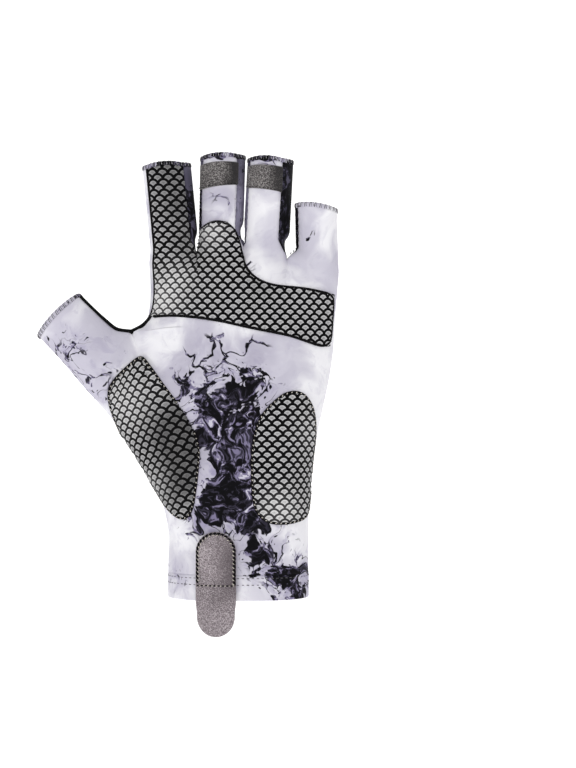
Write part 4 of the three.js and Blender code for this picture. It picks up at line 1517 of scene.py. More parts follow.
@dataclass(frozen=True)
class Thread:
    """Twisted sewing thread or cord."""

    name: str
    colour: Colour
    twist: float = 0.9
    darkening: float = 0.72
    shades: Blotches = Blotches(1.2, 0.4, 0.7)

    def material(self) -> Material:
        """Slanting ridges of the twist, by a sine of the length plus the turn round the thread."""
        board = Board(self.name)
        spot = board.node("ShaderNodeUVMap", uv_map="Cloth").outputs[0]
        split = board.node("ShaderNodeSeparateXYZ")
        board.put(split.inputs[0], spot)
        turn = board.times(split.outputs[0], 1000.0)
        run = board.times(split.outputs[1], 1000 * 2 * math.pi / self.twist)
        ridge = board.math("SINE", board.plus(turn, run))
        shade = tuple(int(c * self.darkening) for c in self.colour)
        share = self.shades.share(board, board.place())
        colour = board.mix(share, srgb(*self.colour), srgb(*shade))
        return board.finish(Base_Color=colour, Roughness=0.75, Specular_IOR_Level=0.08,
                            Normal=board.bump(ridge, 0.4, 0.08))


class Finish(Enum):
    """Every finish of the glove."""

    PRINT = PrintedCloth("printed cloth")
    INNER = PlainCloth("cloth inside", (214, 212, 222), (186, 183, 198))
    WHITE = PlainCloth("white cloth", (232, 231, 238), (196, 193, 208))
    # A darker copy of the print, as painted shade on the fourchettes between the fingers.
    SIDE = PrintedCloth("shaded side cloth", white=(138, 134, 154), cloud=(84, 81, 98), streak=(70, 66, 84),
                        haze=(96, 92, 112), dusk=(24, 23, 28), tint=(58, 55, 70))
    GUSSET = Suede("thumb suede", (128, 124, 127), (78, 74, 78), (172, 168, 170))
    PALM_NET = ScaleGrip("palm grip", pitch=4.85, half_line=0.62)
    THUMB_NET = ScaleGrip("thumb grip", pitch=5.2, half_line=0.62)
    HEEL_NET = ScaleGrip("heel grip", pitch=4.85, half_line=0.64)
    BAND = Suede("band suede", (104, 100, 100), (46, 44, 45), (172, 168, 166), grain=2.2)
    TAB = Suede("tab suede", (162, 152, 156), (94, 86, 90), (206, 197, 201), grain=2.2)
    RIM = Thread("grip rim", (14, 13, 14), twist=1.4)
    BLACK = Thread("black thread", (13, 12, 14))
    GREY = Thread("grey thread", (112, 110, 114))
    PALE = Thread("pale thread", (206, 204, 208))
    CREAM = Thread("cream thread", (218, 211, 200))

    @cached_property
    def material(self) -> Material:
        """The finish's material, built when it is first asked for."""
        return self.value.material()


# Where the print is inked: x, z and spread in mm, and weight.
INK = {
    Side.PALM: ((-2, 52, 16, 1.15), (-3, 74, 16, 1.2), (3, 95, 14, 0.9), (-15, 38, 10, 0.75),
                (26, 9, 12, 0.9), (9, 33, 12, 0.75), (-19, 97, 13, 0.72), (-88, 110, 8, 0.65),
                (-74, 112, 16, 0.42), (-62, 100, 9, 0.3), (-30, 10, 7, 0.34), (12, 20, 10, 0.45),
                (-8, 209, 5, 0.8), (-8, 189, 9, 0.4), (14, 209, 6, 1.3), (24, 190, 5, 0.3)),
    Side.BACK: ((8, 56, 24, 0.9), (-14, 92, 18, 0.75), (20, 122, 18, 0.6), (-60, 105, 12, 0.5),
                (-6, 190, 10, 0.4), (24, 20, 14, 0.5)),
}
CELLS = {
    Side.PALM: ((-14, 110, 14, 0.9), (6, 110, 13, 0.9), (-8, 188, 10, 0.28)),
    Side.BACK: ((0, 136, 24, 0.9), (-30, 170, 14, 0.7)),
}
INK_FLOOR = 0.06

SIDE_INK = {"index_middle_fourchette": 0.85, "middle_ring_fourchette": 0.35, "ring_little_fourchette": 1.35}
EDGE_INK = {"thumb": 0.35, "index": 0.9, "middle": 1.1, "ring": 1.1, "little": 0.3}

# Narrow folds: x, z to x, z, half-width and depth in mm.
FOLDS = {
    Side.PALM: ((-50, 118, -38, 108, 1.6, 0.8), (-54, 112, -40, 100, 1.8, 0.7), (-60, 100, -42, 92, 2.0, 0.6),
                (-46, 128, -34, 122, 1.5, 0.6), (-28, 20, -10, 28, 1.8, 0.5), (10, 24, 28, 18, 1.8, 0.5),
                (-16, 160, -22, 150, 1.4, 0.5), (4, 166, 2, 154, 1.4, 0.5), (25, 158, 22, 148, 1.5, 0.5)),
    Side.BACK: ((-50, 112, -34, 104, 2.0, 0.8), (-56, 100, -40, 96, 2.0, 0.7), (-20, 26, 4, 22, 2.0, 0.5),
                (-16, 160, -20, 148, 1.6, 0.6), (4, 166, 4, 152, 1.6, 0.6), (25, 158, 24, 146, 1.6, 0.6)),
}


def bells(x: Array, z: Array, spots: tuple[tuple[float, ...], ...]) -> Array:
    """Sum of weight * exp(-(distance / spread)^2) over the spots."""
    return sum(weight * np.exp(-((x - sx) ** 2 + (z - sz) ** 2) / size ** 2)
               for sx, sz, size, weight in spots)


def folds(x: Array, z: Array, table: tuple[tuple[float, ...], ...]) -> Array:
    """Depth of narrow folds: a Gaussian across each one, that fades to nothing at its ends.

    Args:
        x, z: Where the depth is wanted.
        table: X and Z of both ends, half-width and depth of each fold.

    Returns:
        Depths in millimetres.
    """
    total = np.zeros_like(x)
    for *ends, width, depth in table:
        away, t = to_segment(x, z, np.array(ends[:2]), np.array(ends[2:]))
        total += depth * np.sin(np.pi * np.clip(0.15 + 0.7 * t, 0, 1)) * np.exp(-(away / width) ** 2)
    return total


@dataclass(frozen=True)
class Seams:
    """All seam points, with the normal halfway between the pieces that meet there."""

    points: Array
    normals: Array

    @classmethod
    def of(cls, sheets: list[Sheet]) -> "Seams":
        """Finds where the borders of two sheets coincide, and adds up their normals there.

        Args:
            sheets: All the cloth pieces.

        Returns:
            The seams.
        """
        edges = [(sheet, sheet.border()) for sheet in sheets]
        points = np.concatenate([sheet.points[edge] for sheet, edge in edges])
        normals = np.concatenate([sheet.normals()[edge] for sheet, edge in edges])
        first, cell = coinciding(points)
        total = np.zeros((len(first), 3))
        np.add.at(total, cell, normals)
        shared = np.bincount(cell) > 1
        return cls(points[first][shared], unit(total[shared]))


@dataclass(frozen=True)
class SeamLook:
    """How deep and wide a seam sinks in, and how the cloth puckers beside it, in mm."""

    depth: float = 0.8
    width: float = 1.0
    pucker: float = 0.1
    pitch: float = 3.1
    reach: float = 2.6

    def sink(self, sheet: Sheet, seams: Seams, extra: Array | float = 0.0) -> Sheet:
        """Sinks a sheet's edges into the seams.

        The depth is depth * exp(-(d / width)^2) at d from the seam, along a normal that turns into
        the seam's own, and beside it lies pucker * sin(2 pi s / pitch) * exp(-(d / reach)^2).

        Args:
            sheet: The cloth.
            seams: All the seams.
            extra: A further height for each point.

        Returns:
            The moved sheet.
        """
        away, which = nearest(sheet.points, seams.points)
        own = sheet.normals()
        near = np.exp(-(away / self.width) ** 2)
        way = unit(lerp(own, seams.normals[which], near[:, None]))
        along_seam = sheet.points[:, 2] + 0.7 * sheet.points[:, 0]
        pucker = self.pucker * np.sin(2 * np.pi * along_seam / self.pitch) * np.exp(-(away / self.reach) ** 2)
        height = pucker - self.depth * near + extra
        return Sheet(sheet.points + way * height[:, None], sheet.quads, sheet.values)


@dataclass
class Cuff:
    """The folded hem round the wrist."""

    wall: float = 1.9
    fold: float = 0.09
    fold_steps: int = 13
    side_steps: int = 14
    seam_dip: float = 0.12
    wave: float = 0.12
    wave_pitch: float = 7.3
    stitch: Stitch = Stitch(1.5, 0.8, 0.15, lift=0.1)

    def ring(self, s: Array, columns: int = 22) -> Array:
        """Closed rings round the cuff, the palm side first and then the back.

        Args:
            s: Shares up the lower hand, one for each ring.
            columns: Steps across each strip.

        Returns:
            One row of points for each share.
        """
        t = spread(columns)
        rows = FORM.lower(s)
        palm = [FORM.hand_points(rows, strip, t[:-1], Side.PALM) for strip in Strip]
        back = [FORM.hand_points(rows, strip, t[:0:-1], Side.BACK) for strip in reversed(Strip)]
        return np.concatenate(palm + back, axis=1)

    def outward(self, rings: Array) -> tuple[Array, Array]:
        """Steps along rings and the level directions out of them.

        Args:
            rings: Rings of points, with the points along the last axis but one.

        Returns:
            Twice the step at each point, and the unit cross product of that step with the vertical.
        """
        ahead = np.roll(rings, -1, axis=-2) - np.roll(rings, 1, axis=-2)
        return ahead, unit(np.cross(ahead, np.array([0, 0, 1.0])))

    def build(self) -> None:
        """Sweeps the hem's profile, up the outside, round the fold and up the inside, and stitches it."""
        turn = np.linspace(0, np.pi, self.fold_steps)[1:-1]
        side = np.linspace(1, self.fold, self.side_steps)
        up = np.concatenate([side, self.fold * (1 - np.sin(turn)), side[::-1]])
        inset = np.concatenate([0 * side, 0.5 - 0.5 * np.cos(turn), 0 * side + 1])
        rings = self.ring(FORM.hem_share * up)
        ahead, normal = self.outward(rings)
        rank = np.arange(len(up))
        dip = self.seam_dip * np.exp(-(rank / 1.2) ** 2) * (rank < self.side_steps)
        wave = np.sin(2 * np.pi * rings[:, :, 0] / self.wave_pitch) * np.sin(np.pi * up)[:, None]
        lift = self.wave * wave - (dip + self.wall * inset)[:, None]
        points = rings + normal * lift[:, :, None]
        around = np.cumsum(np.linalg.norm(ahead, axis=2), axis=1) / 2
        in_front = np.arange(points.shape[1]) < points.shape[1] / 2
        inks = [bells(points[:, :, 0], points[:, :, 2], INK[side]) for side in Side]
        sheet = Sheet.grid(points, wrap_rows=True, wrap_columns=True, u=around, v=rings[:, :, 2],
                           print_ink=INK_FLOOR + np.where(in_front, *inks), print_cells=0.0)
        make_object("wrist_hem_skin", sheet.flipped(), Finish.PRINT, slot="printed_cloth",
                    replaces=("wrist_hem",))
        stitch_rows = (("hem_stitch_upper", 0.9, Finish.GREY), ("hem_stitch_lower", 0.69, Finish.BLACK))
        for name, height, thread in stitch_rows:
            ring = self.ring(np.array([FORM.hem_share * height]))[0]
            line = Path(ring, self.outward(ring)[1], closed=True)
            make_object(name, self.stitch.row(line), thread)


@dataclass
class Binding:
    """The overlocked edge of one opening."""

    name: str
    loop: Array
    axis: Array
    height: float = 2.0
    wall: float = 1.5
    proud: float = 0.1
    past: float = 0.1
    thread: float = 0.13
    pitch: float = 0.8
    loop_steps: int = 120

    def __post_init__(self) -> None:
        """Spaces the loop's points evenly, and finds the way out of the opening at each."""
        keep = np.linalg.norm(np.diff(self.loop, axis=0, append=self.loop[:1]), axis=1) > 1e-4
        flat = Path(self.loop[keep], np.tile(self.axis, (keep.sum(), 1)), closed=True)
        self.loop, _, _ = flat.at(np.linspace(0, flat.length, self.loop_steps, endpoint=False))
        ahead = np.roll(self.loop, -1, axis=0) - np.roll(self.loop, 1, axis=0)
        self.out = unit(np.cross(ahead, self.axis))
        centre = self.loop.mean(axis=0)
        if ((self.loop - centre) * self.out).sum() < 0:
            self.out = -self.out
        self.path = Path(self.loop, self.out, closed=True)

    def profile(self, turn: Array, grow: float = 0.0) -> tuple[Array, Array]:
        """A rounded profile: a superellipse of power 3 about the edge's middle.

        Args:
            turn: Angles round the profile.
            grow: How far it stands off the edge, in millimetres.

        Returns:
            Lengths out and up at each angle.
        """
        half_out, half_up = self.wall / 2 + grow, self.height / 2 + self.past + grow
        c, s = np.cos(turn), np.sin(turn)
        size = (np.abs(c) ** 3 + np.abs(s) ** 3) ** (-1 / 3)
        out = self.proud - self.wall / 2 + half_out * size * c
        return out, self.height / 2 - self.past + half_up * size * s

    def build(self) -> None:
        """Sweeps the edge and lays three threads' worth of overlock stitches over it."""
        out, up = self.profile(np.linspace(0, 2 * np.pi, 18, endpoint=False))
        points = self.loop[:, None] + self.out[:, None] * out[None, :, None] + self.axis * up[None, :, None]
        core = Sheet.grid(points, wrap_rows=True, wrap_columns=True, u=0.0, v=0.0, print_cells=0.0,
                          print_ink=EDGE_INK[self.name]).flipped()
        make_object(self.name + "_edge", core, Finish.PRINT, slot="binding",
                    replaces=(self.name + "_binding",))
        count = int(self.path.length / self.pitch)
        pitch = self.path.length / count
        parts = []
        # Each thread's first and last angle round the profile, and how far it slants along the edge.
        for which, (first, last, skew) in enumerate(((-1.15, 2.6, 0.9), (-0.5, 3.5, -0.8), (-1.2, 1.9, 1.3))):
            turn = np.linspace(first, last, 8)
            grow = 0.06 - 0.18 * (np.abs(np.linspace(-1, 1, 8)) > 0.9)
            out, up = self.profile(turn, grow)
            s = (np.arange(which, count, 3)[:, None] + skew * np.linspace(-0.5, 0.5, 8)) * pitch
            here, facing, _ = self.path.at(s)
            paths = here + facing * out[None, :, None] + self.axis * up[None, :, None]
            parts.append(tubes(paths, self.thread, sides=6, up=self.axis))
        make_object(self.name + "_overlock", parts, Finish.GREY, Finish.PALE, Finish.BLACK)


@dataclass(frozen=True)
class GripSpec:
    """One grip: its outline as shares of the palm's width and length, and how its net lies."""

    name: str
    net: Finish
    outline: tuple[tuple[float, float], ...]
    smooth: bool = True
    turn: float = 0.0
    shift: tuple[float, float] = (0.0, 0.0)


GRIPS = (
    GripSpec("palm_grip", Finish.PALM_NET, (
        (-0.6, 1.35), (-0.6, 0.79), (-0.338, 0.797), (-0.204, 0.791), (-0.07, 0.78), (0.038, 0.766),
        (0.279, 0.741), (0.45, 0.71), (0.485, 0.712), (0.495, 0.73), (0.511, 0.857), (0.36, 0.872),
        (0.199, 0.879), (0.129, 0.889), (0.064, 0.912), (0.028, 0.948), (0.004, 1.005), (-0.02, 1.042),
        (-0.062, 1.061), (-0.139, 1.063), (-0.18, 1.05), (-0.235, 1.015), (-0.245, 1.35)),
        smooth=False),
    GripSpec("thumb_grip", Finish.THUMB_NET, (
        (-0.517, 0.679), (-0.578, 0.653), (-0.661, 0.608), (-0.68, 0.564), (-0.652, 0.508), (-0.598, 0.438),
        (-0.514, 0.369), (-0.44, 0.306), (-0.375, 0.257), (-0.3, 0.229), (-0.248, 0.246), (-0.224, 0.306),
        (-0.208, 0.4), (-0.224, 0.463), (-0.277, 0.52), (-0.349, 0.57), (-0.421, 0.621), (-0.482, 0.665)),
        turn=0.2, shift=(0.6, 0.3)),
    GripSpec("heel_grip", Finish.HEEL_NET, (
        (0.2, 0.555), (0.129, 0.514), (0.094, 0.463), (0.08, 0.4), (0.081, 0.337), (0.094, 0.261),
        (0.153, 0.224), (0.237, 0.216), (0.315, 0.221), (0.366, 0.236), (0.383, 0.3), (0.393, 0.387),
        (0.41, 0.46), (0.4, 0.53), (0.35, 0.575), (0.27, 0.58)),
        shift=(0.2, 0.9)),
)


@dataclass
class Grip:
    """A patch with a raised scale net, and a corded rim stitched round it."""

    spec: GripSpec
    palm: Palm
    base: float = 0.75
    relief: float = 0.3
    wall: float = 0.5
    rim_radius: float = 0.74
    rim_lift: float = 0.4
    shortest_run: int = 16
    stitch: Stitch = Stitch(1.2, 1.1, 0.24, slant=0.9, lift=1.18)

    def __post_init__(self) -> None:
        """Draws the outline on X and Z."""
        shares = np.array(self.spec.outline) * [FORM.palm_width, FORM.palm_length]
        self.outline = spline(shares, closed=True) if self.spec.smooth else shares

    def cut(self) -> Sheet:
        """The palm's fine quads that lie inside the outline, raised to the grip's height."""
        fine = self.palm.sheet
        middle = fine.points[fine.quads].mean(axis=1)
        patch = fine.kept(inside(middle[:, [0, 2]], self.outline))
        u, v = patch.values["u"], patch.values["v"]
        c, s = math.cos(self.spec.turn), math.sin(self.spec.turn)
        across = c * u + s * v + self.spec.shift[0]
        up = c * v - s * u + self.spec.shift[1]
        net = self.spec.net.value
        away = scale_net(across, up, net.pitch)
        half = net.half_line
        relief = self.relief * (1 - smooth((away - 0.6 * half) / (1.1 * half)))
        patch.values.update(u=across, v=up)
        patch.values["glare"] = bells(patch.points[:, 0], patch.points[:, 2], GLARE)
        # Painted shade for the cells, from the bells of the grips' shade table.
        patch.values["wear"] = np.clip(bells(patch.points[:, 0], patch.points[:, 2], GRIP_SHADE), 0, 1)
        edge, _ = nearest(patch.points, fine.points[fine.border()])
        return patch.pushed((self.base + relief) * smooth(0.15 + edge / 2.4))

    def rim_runs(self) -> list[tuple[Array, bool]]:
        """Stretches of the outline that lie over the palm, and whether each one closes on itself."""
        dense = self.outline if self.spec.smooth else spline_straight(self.outline, 1.0)
        over = self.palm.covers(dense)
        if over.all():
            return [(dense, True)]
        start = int(np.argmin(over))
        over, dense = np.roll(over, -start), np.roll(dense, -start, axis=0)
        edges = np.flatnonzero(np.diff(over.astype(int))) + 1
        pairs = zip(np.split(dense, edges), np.split(over, edges))
        return [(soften(run[2:-2]), False) for run, flag in pairs if flag[0] and len(run) > self.shortest_run]

    def build(self) -> None:
        """Adds the net and the rim."""
        make_object(self.spec.name + "_net", self.cut(), self.spec.net, wall=self.wall, slot="grip",
                    replaces=(self.spec.name,))
        rims, sewn = [], []
        for run, closed in self.rim_runs():
            path = self.palm.path(run, closed=closed)
            s = np.linspace(0, path.length, max(int(path.length / 0.9), 12), endpoint=not closed)[None]
            _, up, _ = path.at(s)
            line = path.laid(s, 0.0, self.rim_lift)
            rims.append(tubes(line, self.rim_radius, sides=8, closed=closed, flatten=0.9, up=up))
            sewn.append(self.stitch.row(path))
        make_object(self.spec.name + "_rim", Sheet.joined(rims), Finish.RIM)
        thread = Finish.CREAM if self.spec.smooth else Finish.BLACK
        make_object(self.spec.name + "_stitches", Sheet.joined(sewn), thread)


# Pale patches where the light glares on the grips: x, z and spread in mm, and weight.
GLARE = ((-38, 139, 10, 1.0), (-28, 150, 8, 0.4), (-14, 172, 7, 0.8), (-52, 92, 12, 0.4), (-40, 52, 8, 0.3),
         (20, 42, 9, 0.6), (38, 78, 9, 0.4))

# Painted shade on the grips: where their microfibre is drawn darker, as x, z and spread in mm, and weight.
GRIP_SHADE = ((-32, 205, 14, 0.8), (-27, 184, 12, 0.75), (-24, 166, 9, 0.6), (-20, 96, 10, 0.5), (-24, 80, 14, 0.9),
        (-21, 60, 13, 1.0), (-34, 76, 13, 0.5), (-27, 48, 9, 0.4), (12, 148, 9, 0.35))


def spline_straight(points: Array, step: float) -> Array:
    """A closed outline cut into pieces no longer than a step.

    Args:
        points: The outline's corners.
        step: The longest piece.

    Returns:
        The outline's points.
    """
    parts = []
    for start, end in zip(points, np.roll(points, -1, axis=0)):
        count = max(int(np.linalg.norm(end - start) / step), 1)
        parts.append(lerp(start, end, np.arange(count)[:, None] / count))
    return np.concatenate(parts)


def soften(run: Array, rounds: int = 12) -> Array:
    """Rounds an open run's corners by moving its points to the middle of their neighbours.

    Args:
        run: The run's points.
        rounds: How often they are moved.

    Returns:
        The moved points.
    """
    run = run.copy()
    for _ in range(rounds):
        run[1:-1] = (run[:-2] + 2 * run[1:-1] + run[2:]) / 4
    return run


@dataclass
class Tab:
    """The suede pull tab on the cuff, sewn down at its upper arch and hanging free below."""

    width: float = 18.8
    length: float = 48.6
    overhang: float = 16.4
    thick: float = 2.4
    gap: float = 0.4
    seam_height: float = 7.4
    taper: float = 0.06
    from_middle: float = -0.148
    whip: Stitch = Stitch(1.7, 0.2, 0.55, slant=0.7, lift=0.2)
    whip_light: Stitch = Stitch(0.8, 1.1, 0.22, slant=1.0, lift=0.5)
    seam: Stitch = Stitch(1.2, 0.8, 0.3, lift=0.25)
    seam_light: Stitch = Stitch(0.6, 1.4, 0.22, lift=0.3, start=1.2)

    def __post_init__(self) -> None:
        """Works out the tab's place on the cuff."""
        self.middle = self.from_middle * FORM.wrist_width
        self.top = self.length - self.overhang

    def surface(self, share: Array, turn: Array) -> Array:
        """Points of the tab: a superellipse of power 5 across, swept down a capsule's width.

        Args:
            share: Shares down the tab, as a column.
            turn: Angles round its section, as a row.

        Returns:
            A grid of points.
        """
        down = self.length * share
        half = self.width / 2
        near = np.clip(np.minimum(down, self.length - down) / half, 0, 1)
        wide = half * np.sqrt(np.clip(1 - (1 - near) ** 2, 0, 1))
        wide = wide * (1 - self.taper * smooth((down - self.top) / 6))
        c, s = np.cos(turn), np.sin(turn)
        size = (np.abs(c) ** 5 + np.abs(s) ** 5) ** (-1 / 5)
        thick = self.thick / 2 * np.sqrt(np.clip(near * 6, 0, 1))
        x = self.middle + wide * size * c
        z = (self.top - down) + 0 * x
        wave = 0.25 * np.sin(x / 3.1 + z / 4.7) * smooth((down - self.top) / 8)
        return np.stack([x, self.front(x, z) + self.thick / 2 - thick * size * s + wave, z], axis=-1)

    def front(self, x: Array, z: Array) -> Array:
        """Y of the tab's front face at X and Z."""
        return -FORM.cuff_depth(x, z) - self.gap - self.thick

    def line(self, x: Array, z: Array) -> Path:
        """A line over the tab's front through X and Z."""
        return Path(np.stack([x, self.front(x, z), z], axis=1), np.tile([0, -1.0, 0], (len(x), 1)))

    def arch(self, inset: float, low: float) -> Path:
        """A line up one side of the tab's front, over its top and down the other side.

        Args:
            inset: Its distance from the tab's edge.
            low: The height at which it starts and ends.

        Returns:
            The line.
        """
        half = self.width / 2 - inset
        centre = self.top - self.width / 2
        side = np.linspace(low, centre, 20)
        turn = np.linspace(0, np.pi, 40)
        x = np.concatenate([np.full(20, half), half * np.cos(turn[1:-1]), np.full(20, -half)])
        z = np.concatenate([side, centre + half * np.sin(turn[1:-1]), side[::-1]])
        return self.line(self.middle + x, z)

    def wear(self, points: Array) -> Array:
        """How dark the suede is painted: a middle tone, with bells of painted light and of painted shade,
        paler where it hangs.
        """
        x, z = points[:, :, 0] - self.middle, points[:, :, 2]
        hang = smooth((self.seam_height - z) / 1.5)
        # Painted light towards the tab's left and painted shade towards its right.
        glow = bells(x, z, ((-5, 22, 8, 1.0), (-2, 12, 6, 0.5), (0, -8, 7, 0.5)))
        corner = bells(x, z, ((6, 20, 9, 0.9), (8, 8, 6, 0.5), (2, 3, 6, 0.5)))
        return 0.42 + 0.6 * corner - 0.6 * glow - 0.1 * hang

    def build(self) -> None:
        """Adds the suede, the whipstitch over its upper edge and the line of stitches at the cuff."""
        share = (0.5 - 0.5 * np.cos(np.linspace(0, np.pi, 90)))[:, None]
        turn = np.linspace(0, 2 * np.pi, 48, endpoint=False)[None, :]
        points = self.surface(share, turn)
        # The suede's painted light and shade go to the mesh with its points.
        body = Sheet.grid(points, wrap_columns=True, u=0.0, v=0.0, wear=self.wear(points))
        make_object("pull_tab_suede", body, Finish.TAB, slot="suede", replaces=("pull_tab",))
        low = self.seam_height + 0.4
        rows = [self.whip.row(self.arch(0.7, low)), self.whip_light.row(self.arch(1.3, low))]
        make_object("pull_tab_whipstitch", rows, Finish.BLACK, Finish.CREAM)
        reach = self.width / 2 - 0.5
        x = self.middle + np.linspace(-reach, reach, 24)
        line = self.line(x, self.seam_height + 0 * x)
        make_object("pull_tab_seam", [self.seam.row(line), self.seam_light.row(line)],
                    Finish.BLACK, Finish.CREAM)


@dataclass
class Piping:
    """The black cord along the crotch seam, thickest at the thumb's crotch."""

    web: Web
    radius: float = 0.8
    extra_radius: float = 0.3
    outwards: float = 0.6
    thick_share: float = 0.16

    def build(self) -> None:
        """Sweeps the cord: its radius is radius + extra * exp(-(way from the crotch / share)^2)."""
        grid = self.web.grid
        line = grid[:, 0] + self.outwards * unit(grid[:, 0] - grid[:, 3] - [0, 1.2, 0])
        away = np.abs(np.arange(len(line)) - self.web.crotch - 3) / len(line)
        radius = self.radius + self.extra_radius * np.exp(-(away / self.thick_share) ** 2)
        make_object("crotch_piping_cord", tubes(line[None], radius, sides=10), Finish.BLACK, slot="piping",
                    replaces=("crotch_piping",))


@dataclass
class PullBand:
    """A suede band across the palm side of one finger, thinned out to its four edges."""

    strip: int
    from_opening: float = 2.0
    height: float = 11.0
    proud: float = 1.25
    sunk: float = 0.1
    rounding: float = 0.8
    wall: float = 0.8
    rows: int = 34
    columns: int = 60
    stitch: Stitch = Stitch(1.3, 0.5, 0.16)

    def build(self) -> None:
        """Lays the band over the finger, rounds its edges by a quarter circle and sews its lower edge."""
        finger = FINGERS[self.strip]
        name = finger.name + "_pull_band"
        length = finger.reach + FORM.palm_length * (1 - FORM.KNUCKLE_UP[self.strip:self.strip + 2].mean())
        low, high = self.from_opening + self.height, self.from_opening
        s = np.linspace(1 - low / length, 1 - high / length, self.rows)
        t = np.linspace(0.0, 1.0, self.columns)
        grid = FORM.finger_points(self.strip, s, t, Side.PALM)
        # Painted shade: the band is darker towards its right side and at its left edge.
        darkened = 0.9 * smooth((t - 0.45) / 0.45)[None, :] + 0.25 * (1 - smooth(t / 0.12))[None, :]
        base = Sheet.grid(grid, u=0.0, v=0.0, wear=darkened)
        row = (1 - np.abs(np.linspace(-1, 1, self.rows)))[:, None] * self.height / 2
        column = (1 - np.abs(np.linspace(-1, 1, self.columns)))[None, :] * finger.width / 2
        edge = np.minimum(row, column).ravel()
        rise = self.proud * np.sqrt(1 - (1 - np.clip(edge / self.rounding, 0, 1)) ** 2) - self.sunk
        make_object(name + "_suede", base.pushed(rise), Finish.BAND, wall=self.wall, slot="suede",
                    replaces=(name,))
        low_rows = Sheet.grid(grid[2:4], u=0.0, v=0.0).pushed(1.05)
        line = Path(low_rows.points[:self.columns], low_rows.normals()[:self.columns])
        make_object(name + "_stitches", self.stitch.row(line), Finish.BLACK)


@dataclass
class Glove:
    """The whole glove."""

    look: SeamLook = SeamLook()
    cloth_wall: float = 1.2
    swell: float = 0.35
    gusset_share: float = 2 / 7
    stitch: Stitch = Stitch(1.1, 0.7, 0.24, slant=0.3, lift=0.25)

    def __post_init__(self) -> None:
        """Works out the skin once for all the pieces."""
        self.palm = HandSide(Side.PALM, PANEL_FINENESS)
        self.back = HandSide(Side.BACK, PANEL_FINENESS)
        self.webs = {strip: Web(strip, self.palm, self.back) for strip in Strip if strip != Strip.LITTLE}

    def build(self) -> None:
        """Adds every piece."""
        self.add_cloth()
        Cuff().build()
        self.add_bindings()
        Piping(self.webs[Strip.THUMB]).build()
        fine = Palm(HandSide(Side.PALM, GRIP_FINENESS).sheet(0))
        for spec in GRIPS:
            Grip(spec, fine).build()
        for strip in (Strip.MIDDLE, Strip.RING):
            PullBand(strip).build()
        self.add_seam_stitches()
        Tab().build()

    def cloth_sheets(self) -> dict[str, Sheet]:
        """The cloth pieces before their seams are sunk in."""
        thumb = self.webs[Strip.THUMB]
        end = thumb.crotch + round(PANEL_FINENESS.upper * self.gusset_share)
        return {
            "palm_panel": self.palm.sheet(self.palm.hem_row),
            "back_panel": self.back.sheet(self.back.hem_row),
            "thumb_gusset": thumb.sheet(slice(0, end + 1)),
            "index_side_strip": thumb.sheet(slice(end, None)),
            "index_middle_fourchette": self.webs[Strip.INDEX].sheet(),
            "middle_ring_fourchette": self.webs[Strip.MIDDLE].sheet(),
            "ring_little_fourchette": self.webs[Strip.RING].sheet(),
        }

    def add_cloth(self) -> None:
        """Sinks the seams, presses folds into the two panels and adds the pieces."""
        sheets = self.cloth_sheets()
        seams = Seams.of(list(sheets.values()))
        dress = {"palm_panel": (Finish.PRINT, "printed_cloth"), "back_panel": (Finish.PRINT, "printed_cloth"),
                 "thumb_gusset": (Finish.GUSSET, "suede"), "index_side_strip": (Finish.WHITE, "white_cloth")}
        sides = {"palm_panel": Side.PALM, "back_panel": Side.BACK}
        for name, sheet in sheets.items():
            extra = 0.0
            x, z = sheet.points[:, 0], sheet.points[:, 2]
            if name in sides:
                side = sides[name]
                swell = self.swell * np.sin(x / 9.0 + z / 13.0) * np.sin(x / 7.0 - z / 17.0 + 1.0)
                extra = swell * smooth((z - FORM.hem_share * FORM.palm_length) / 9) - folds(x, z, FOLDS[side])
                sheet.values["print_ink"] = INK_FLOOR + bells(x, z, INK[side])
                sheet.values["print_cells"] = bells(x, z, CELLS[side])
            else:
                sheet.values["print_ink"] = SIDE_INK.get(name, 0.5) - bells(x, z, ((-20, 205, 8, 0.8),))
                sheet.values["print_cells"] = 0 * x
                # An even 0.2 of this value on the side pieces, which only the thumb suede reads: the whole
                # gusset a little darker.
                sheet.values["wear"] = 0 * x + 0.2
            sunk = self.look.sink(sheet, seams, extra)
            # The fourchettes take the darker copy of the print, as painted shade.
            finish, slot = dress.get(name, (Finish.SIDE, "side_cloth"))
            make_object(name + "_cloth", sunk, finish, Finish.INNER, wall=self.cloth_wall, slot=slot,
                        replaces=(name,))

    def openings(self) -> dict[str, tuple[Array, Array]]:
        """The loop of points round each opening, and the way that it faces."""
        loops = {}
        for strip in Strip:
            palm, back = self.palm.fingers[strip][-1], self.back.fingers[strip][-1]
            right = self.webs[strip].grid[0, 1:-1] if strip < Strip.LITTLE else palm[:0]
            left = self.webs[strip - 1].grid[-1, 1:-1] if strip > Strip.THUMB else palm[:0]
            loop = np.concatenate([palm, right, back[::-1], left[::-1]])
            name = "thumb" if strip == Strip.THUMB else FINGERS[strip].name
            loops[name] = (loop, FORM.axis(strip))
        return loops

    def add_bindings(self) -> None:
        """Adds the overlocked edge of each opening."""
        for name, (loop, axis) in self.openings().items():
            Binding(name, loop, axis).build()

    def add_seam_stitches(self) -> None:
        """Sews a dashed black line up the left seam of two fingers."""
        parts = []
        for strip in (Strip.MIDDLE, Strip.LITTLE):
            grid = self.palm.fingers[strip]
            facing = unit(np.cross(grid[1:, 1] - grid[1:, 0], grid[1:, 0] - grid[:-1, 0]))
            facing *= -np.sign(facing[:, 1:2])
            line = Path(grid[3:-1, 0] + 0.15 * facing[2:-1], facing[2:-1])
            parts.append(self.stitch.row(line))
        make_object("finger_seam_stitches", Sheet.joined(parts), Finish.BLACK)


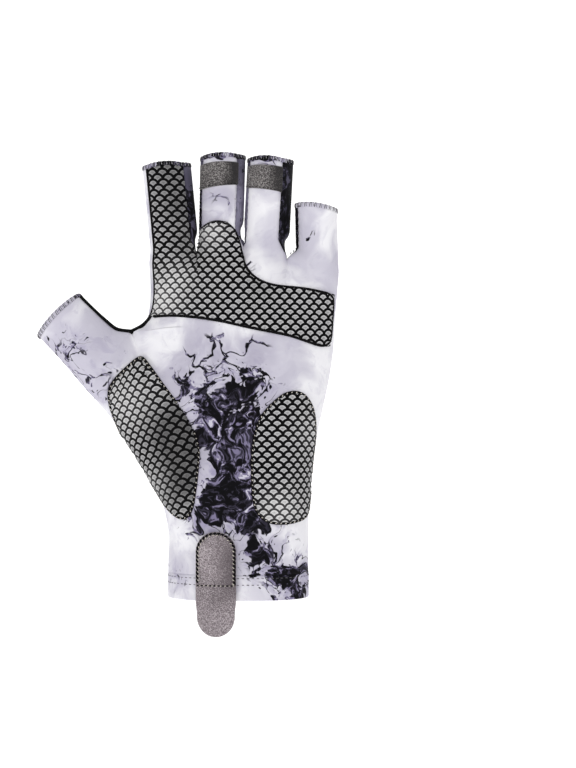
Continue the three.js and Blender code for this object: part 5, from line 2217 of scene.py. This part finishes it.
@dataclass(frozen=True)
class Studio:
    """A pale seamless backdrop, soft lights and a camera in front of the palm."""

    aim: tuple[float, float, float] = (23.5, -8.0, 100.6)
    distance: float = 852.0
    floor: float = -76.0
    wall: float = 1150.0
    reach: float = 2200.0
    height: float = 1900.0
    bend: float = 160.0
    glow: float = 0.5
    lit: tuple[float, float, float] = (10.0, -5.0, 100.0)

    def build(self) -> None:
        """Adds the backdrop, the lights and the camera, and shows colours as they are."""
        bpy.context.scene.view_settings.view_transform = "Standard"
        self.add_backdrop()
        self.add_light("key", (-420, -760, 620), 520, 2.3)
        self.add_light("fill", (560, -640, 260), 600, 0.6)
        self.add_light("top", (60, 120, 760), 600, 0.9)
        world = bpy.data.worlds.new("studio")
        world.use_nodes = True
        sky = world.node_tree.nodes["Background"].inputs
        sky["Color"].default_value = (1.0, 1.0, 1.0, 1.0)
        sky["Strength"].default_value = self.glow
        bpy.context.scene.world = world
        self.add_camera()

    def add_backdrop(self) -> None:
        """Sweeps a floor that curves up into a wall, far enough behind the glove to look at its back."""
        bend = np.linspace(0, np.pi / 2, 14)
        y = np.concatenate([[-self.reach], self.wall - self.bend * (1 - np.sin(bend)), [self.wall]])
        z = self.floor + np.concatenate([[0.0], self.bend * (1 - np.cos(bend)), [self.height]])
        points = np.stack(np.broadcast_arrays([-self.reach, self.reach], y[:, None], z[:, None]), axis=2)
        paper = Board("backdrop").finish(Base_Color=(0.9, 0.9, 0.9, 1.0), Roughness=0.9,
                                         Emission_Color=(1.0, 1.0, 1.0, 1.0), Emission_Strength=self.glow)
        thing = mesh_object("backdrop", Sheet.grid(points), paper)

    def add_light(self, name: str, place: tuple[float, float, float], size: float, power: float) -> None:
        """Adds a square light that faces the glove.

        Args:
            name: The light's name.
            place: Where it stands.
            size: Its side.
            power: Its power in watts.
        """
        light = bpy.data.lights.new(name, "AREA")
        light.shape = "SQUARE"
        light.size = size * METRES
        light.energy = power
        thing = linked(name, light)
        thing.location = [value * METRES for value in place]
        way = np.array(self.lit) - np.array(place)
        thing.rotation_euler = Vector(way).to_track_quat("-Z", "Y").to_euler()

    def add_camera(self) -> None:
        """Looks along +Y, with 36 mm of sensor height behind an 85 mm lens."""
        lens = bpy.data.cameras.new("camera")
        lens.lens = 85
        lens.sensor_fit = "VERTICAL"
        lens.sensor_height = 36
        lens.clip_start, lens.clip_end = 0.01, 20
        thing = linked("camera", lens)
        x, y, z = self.aim
        thing.location = (x * METRES, (y - self.distance) * METRES, z * METRES)
        thing.rotation_euler = (math.pi / 2, 0, 0)
        bpy.context.scene.camera = thing


def main() -> None:
    """Dresses the frame and sets up the picture."""
    logging.basicConfig(level=logging.INFO, format="%(message)s")
    Glove().build()
    Studio().build()


if __name__ == "__main__":
    main()
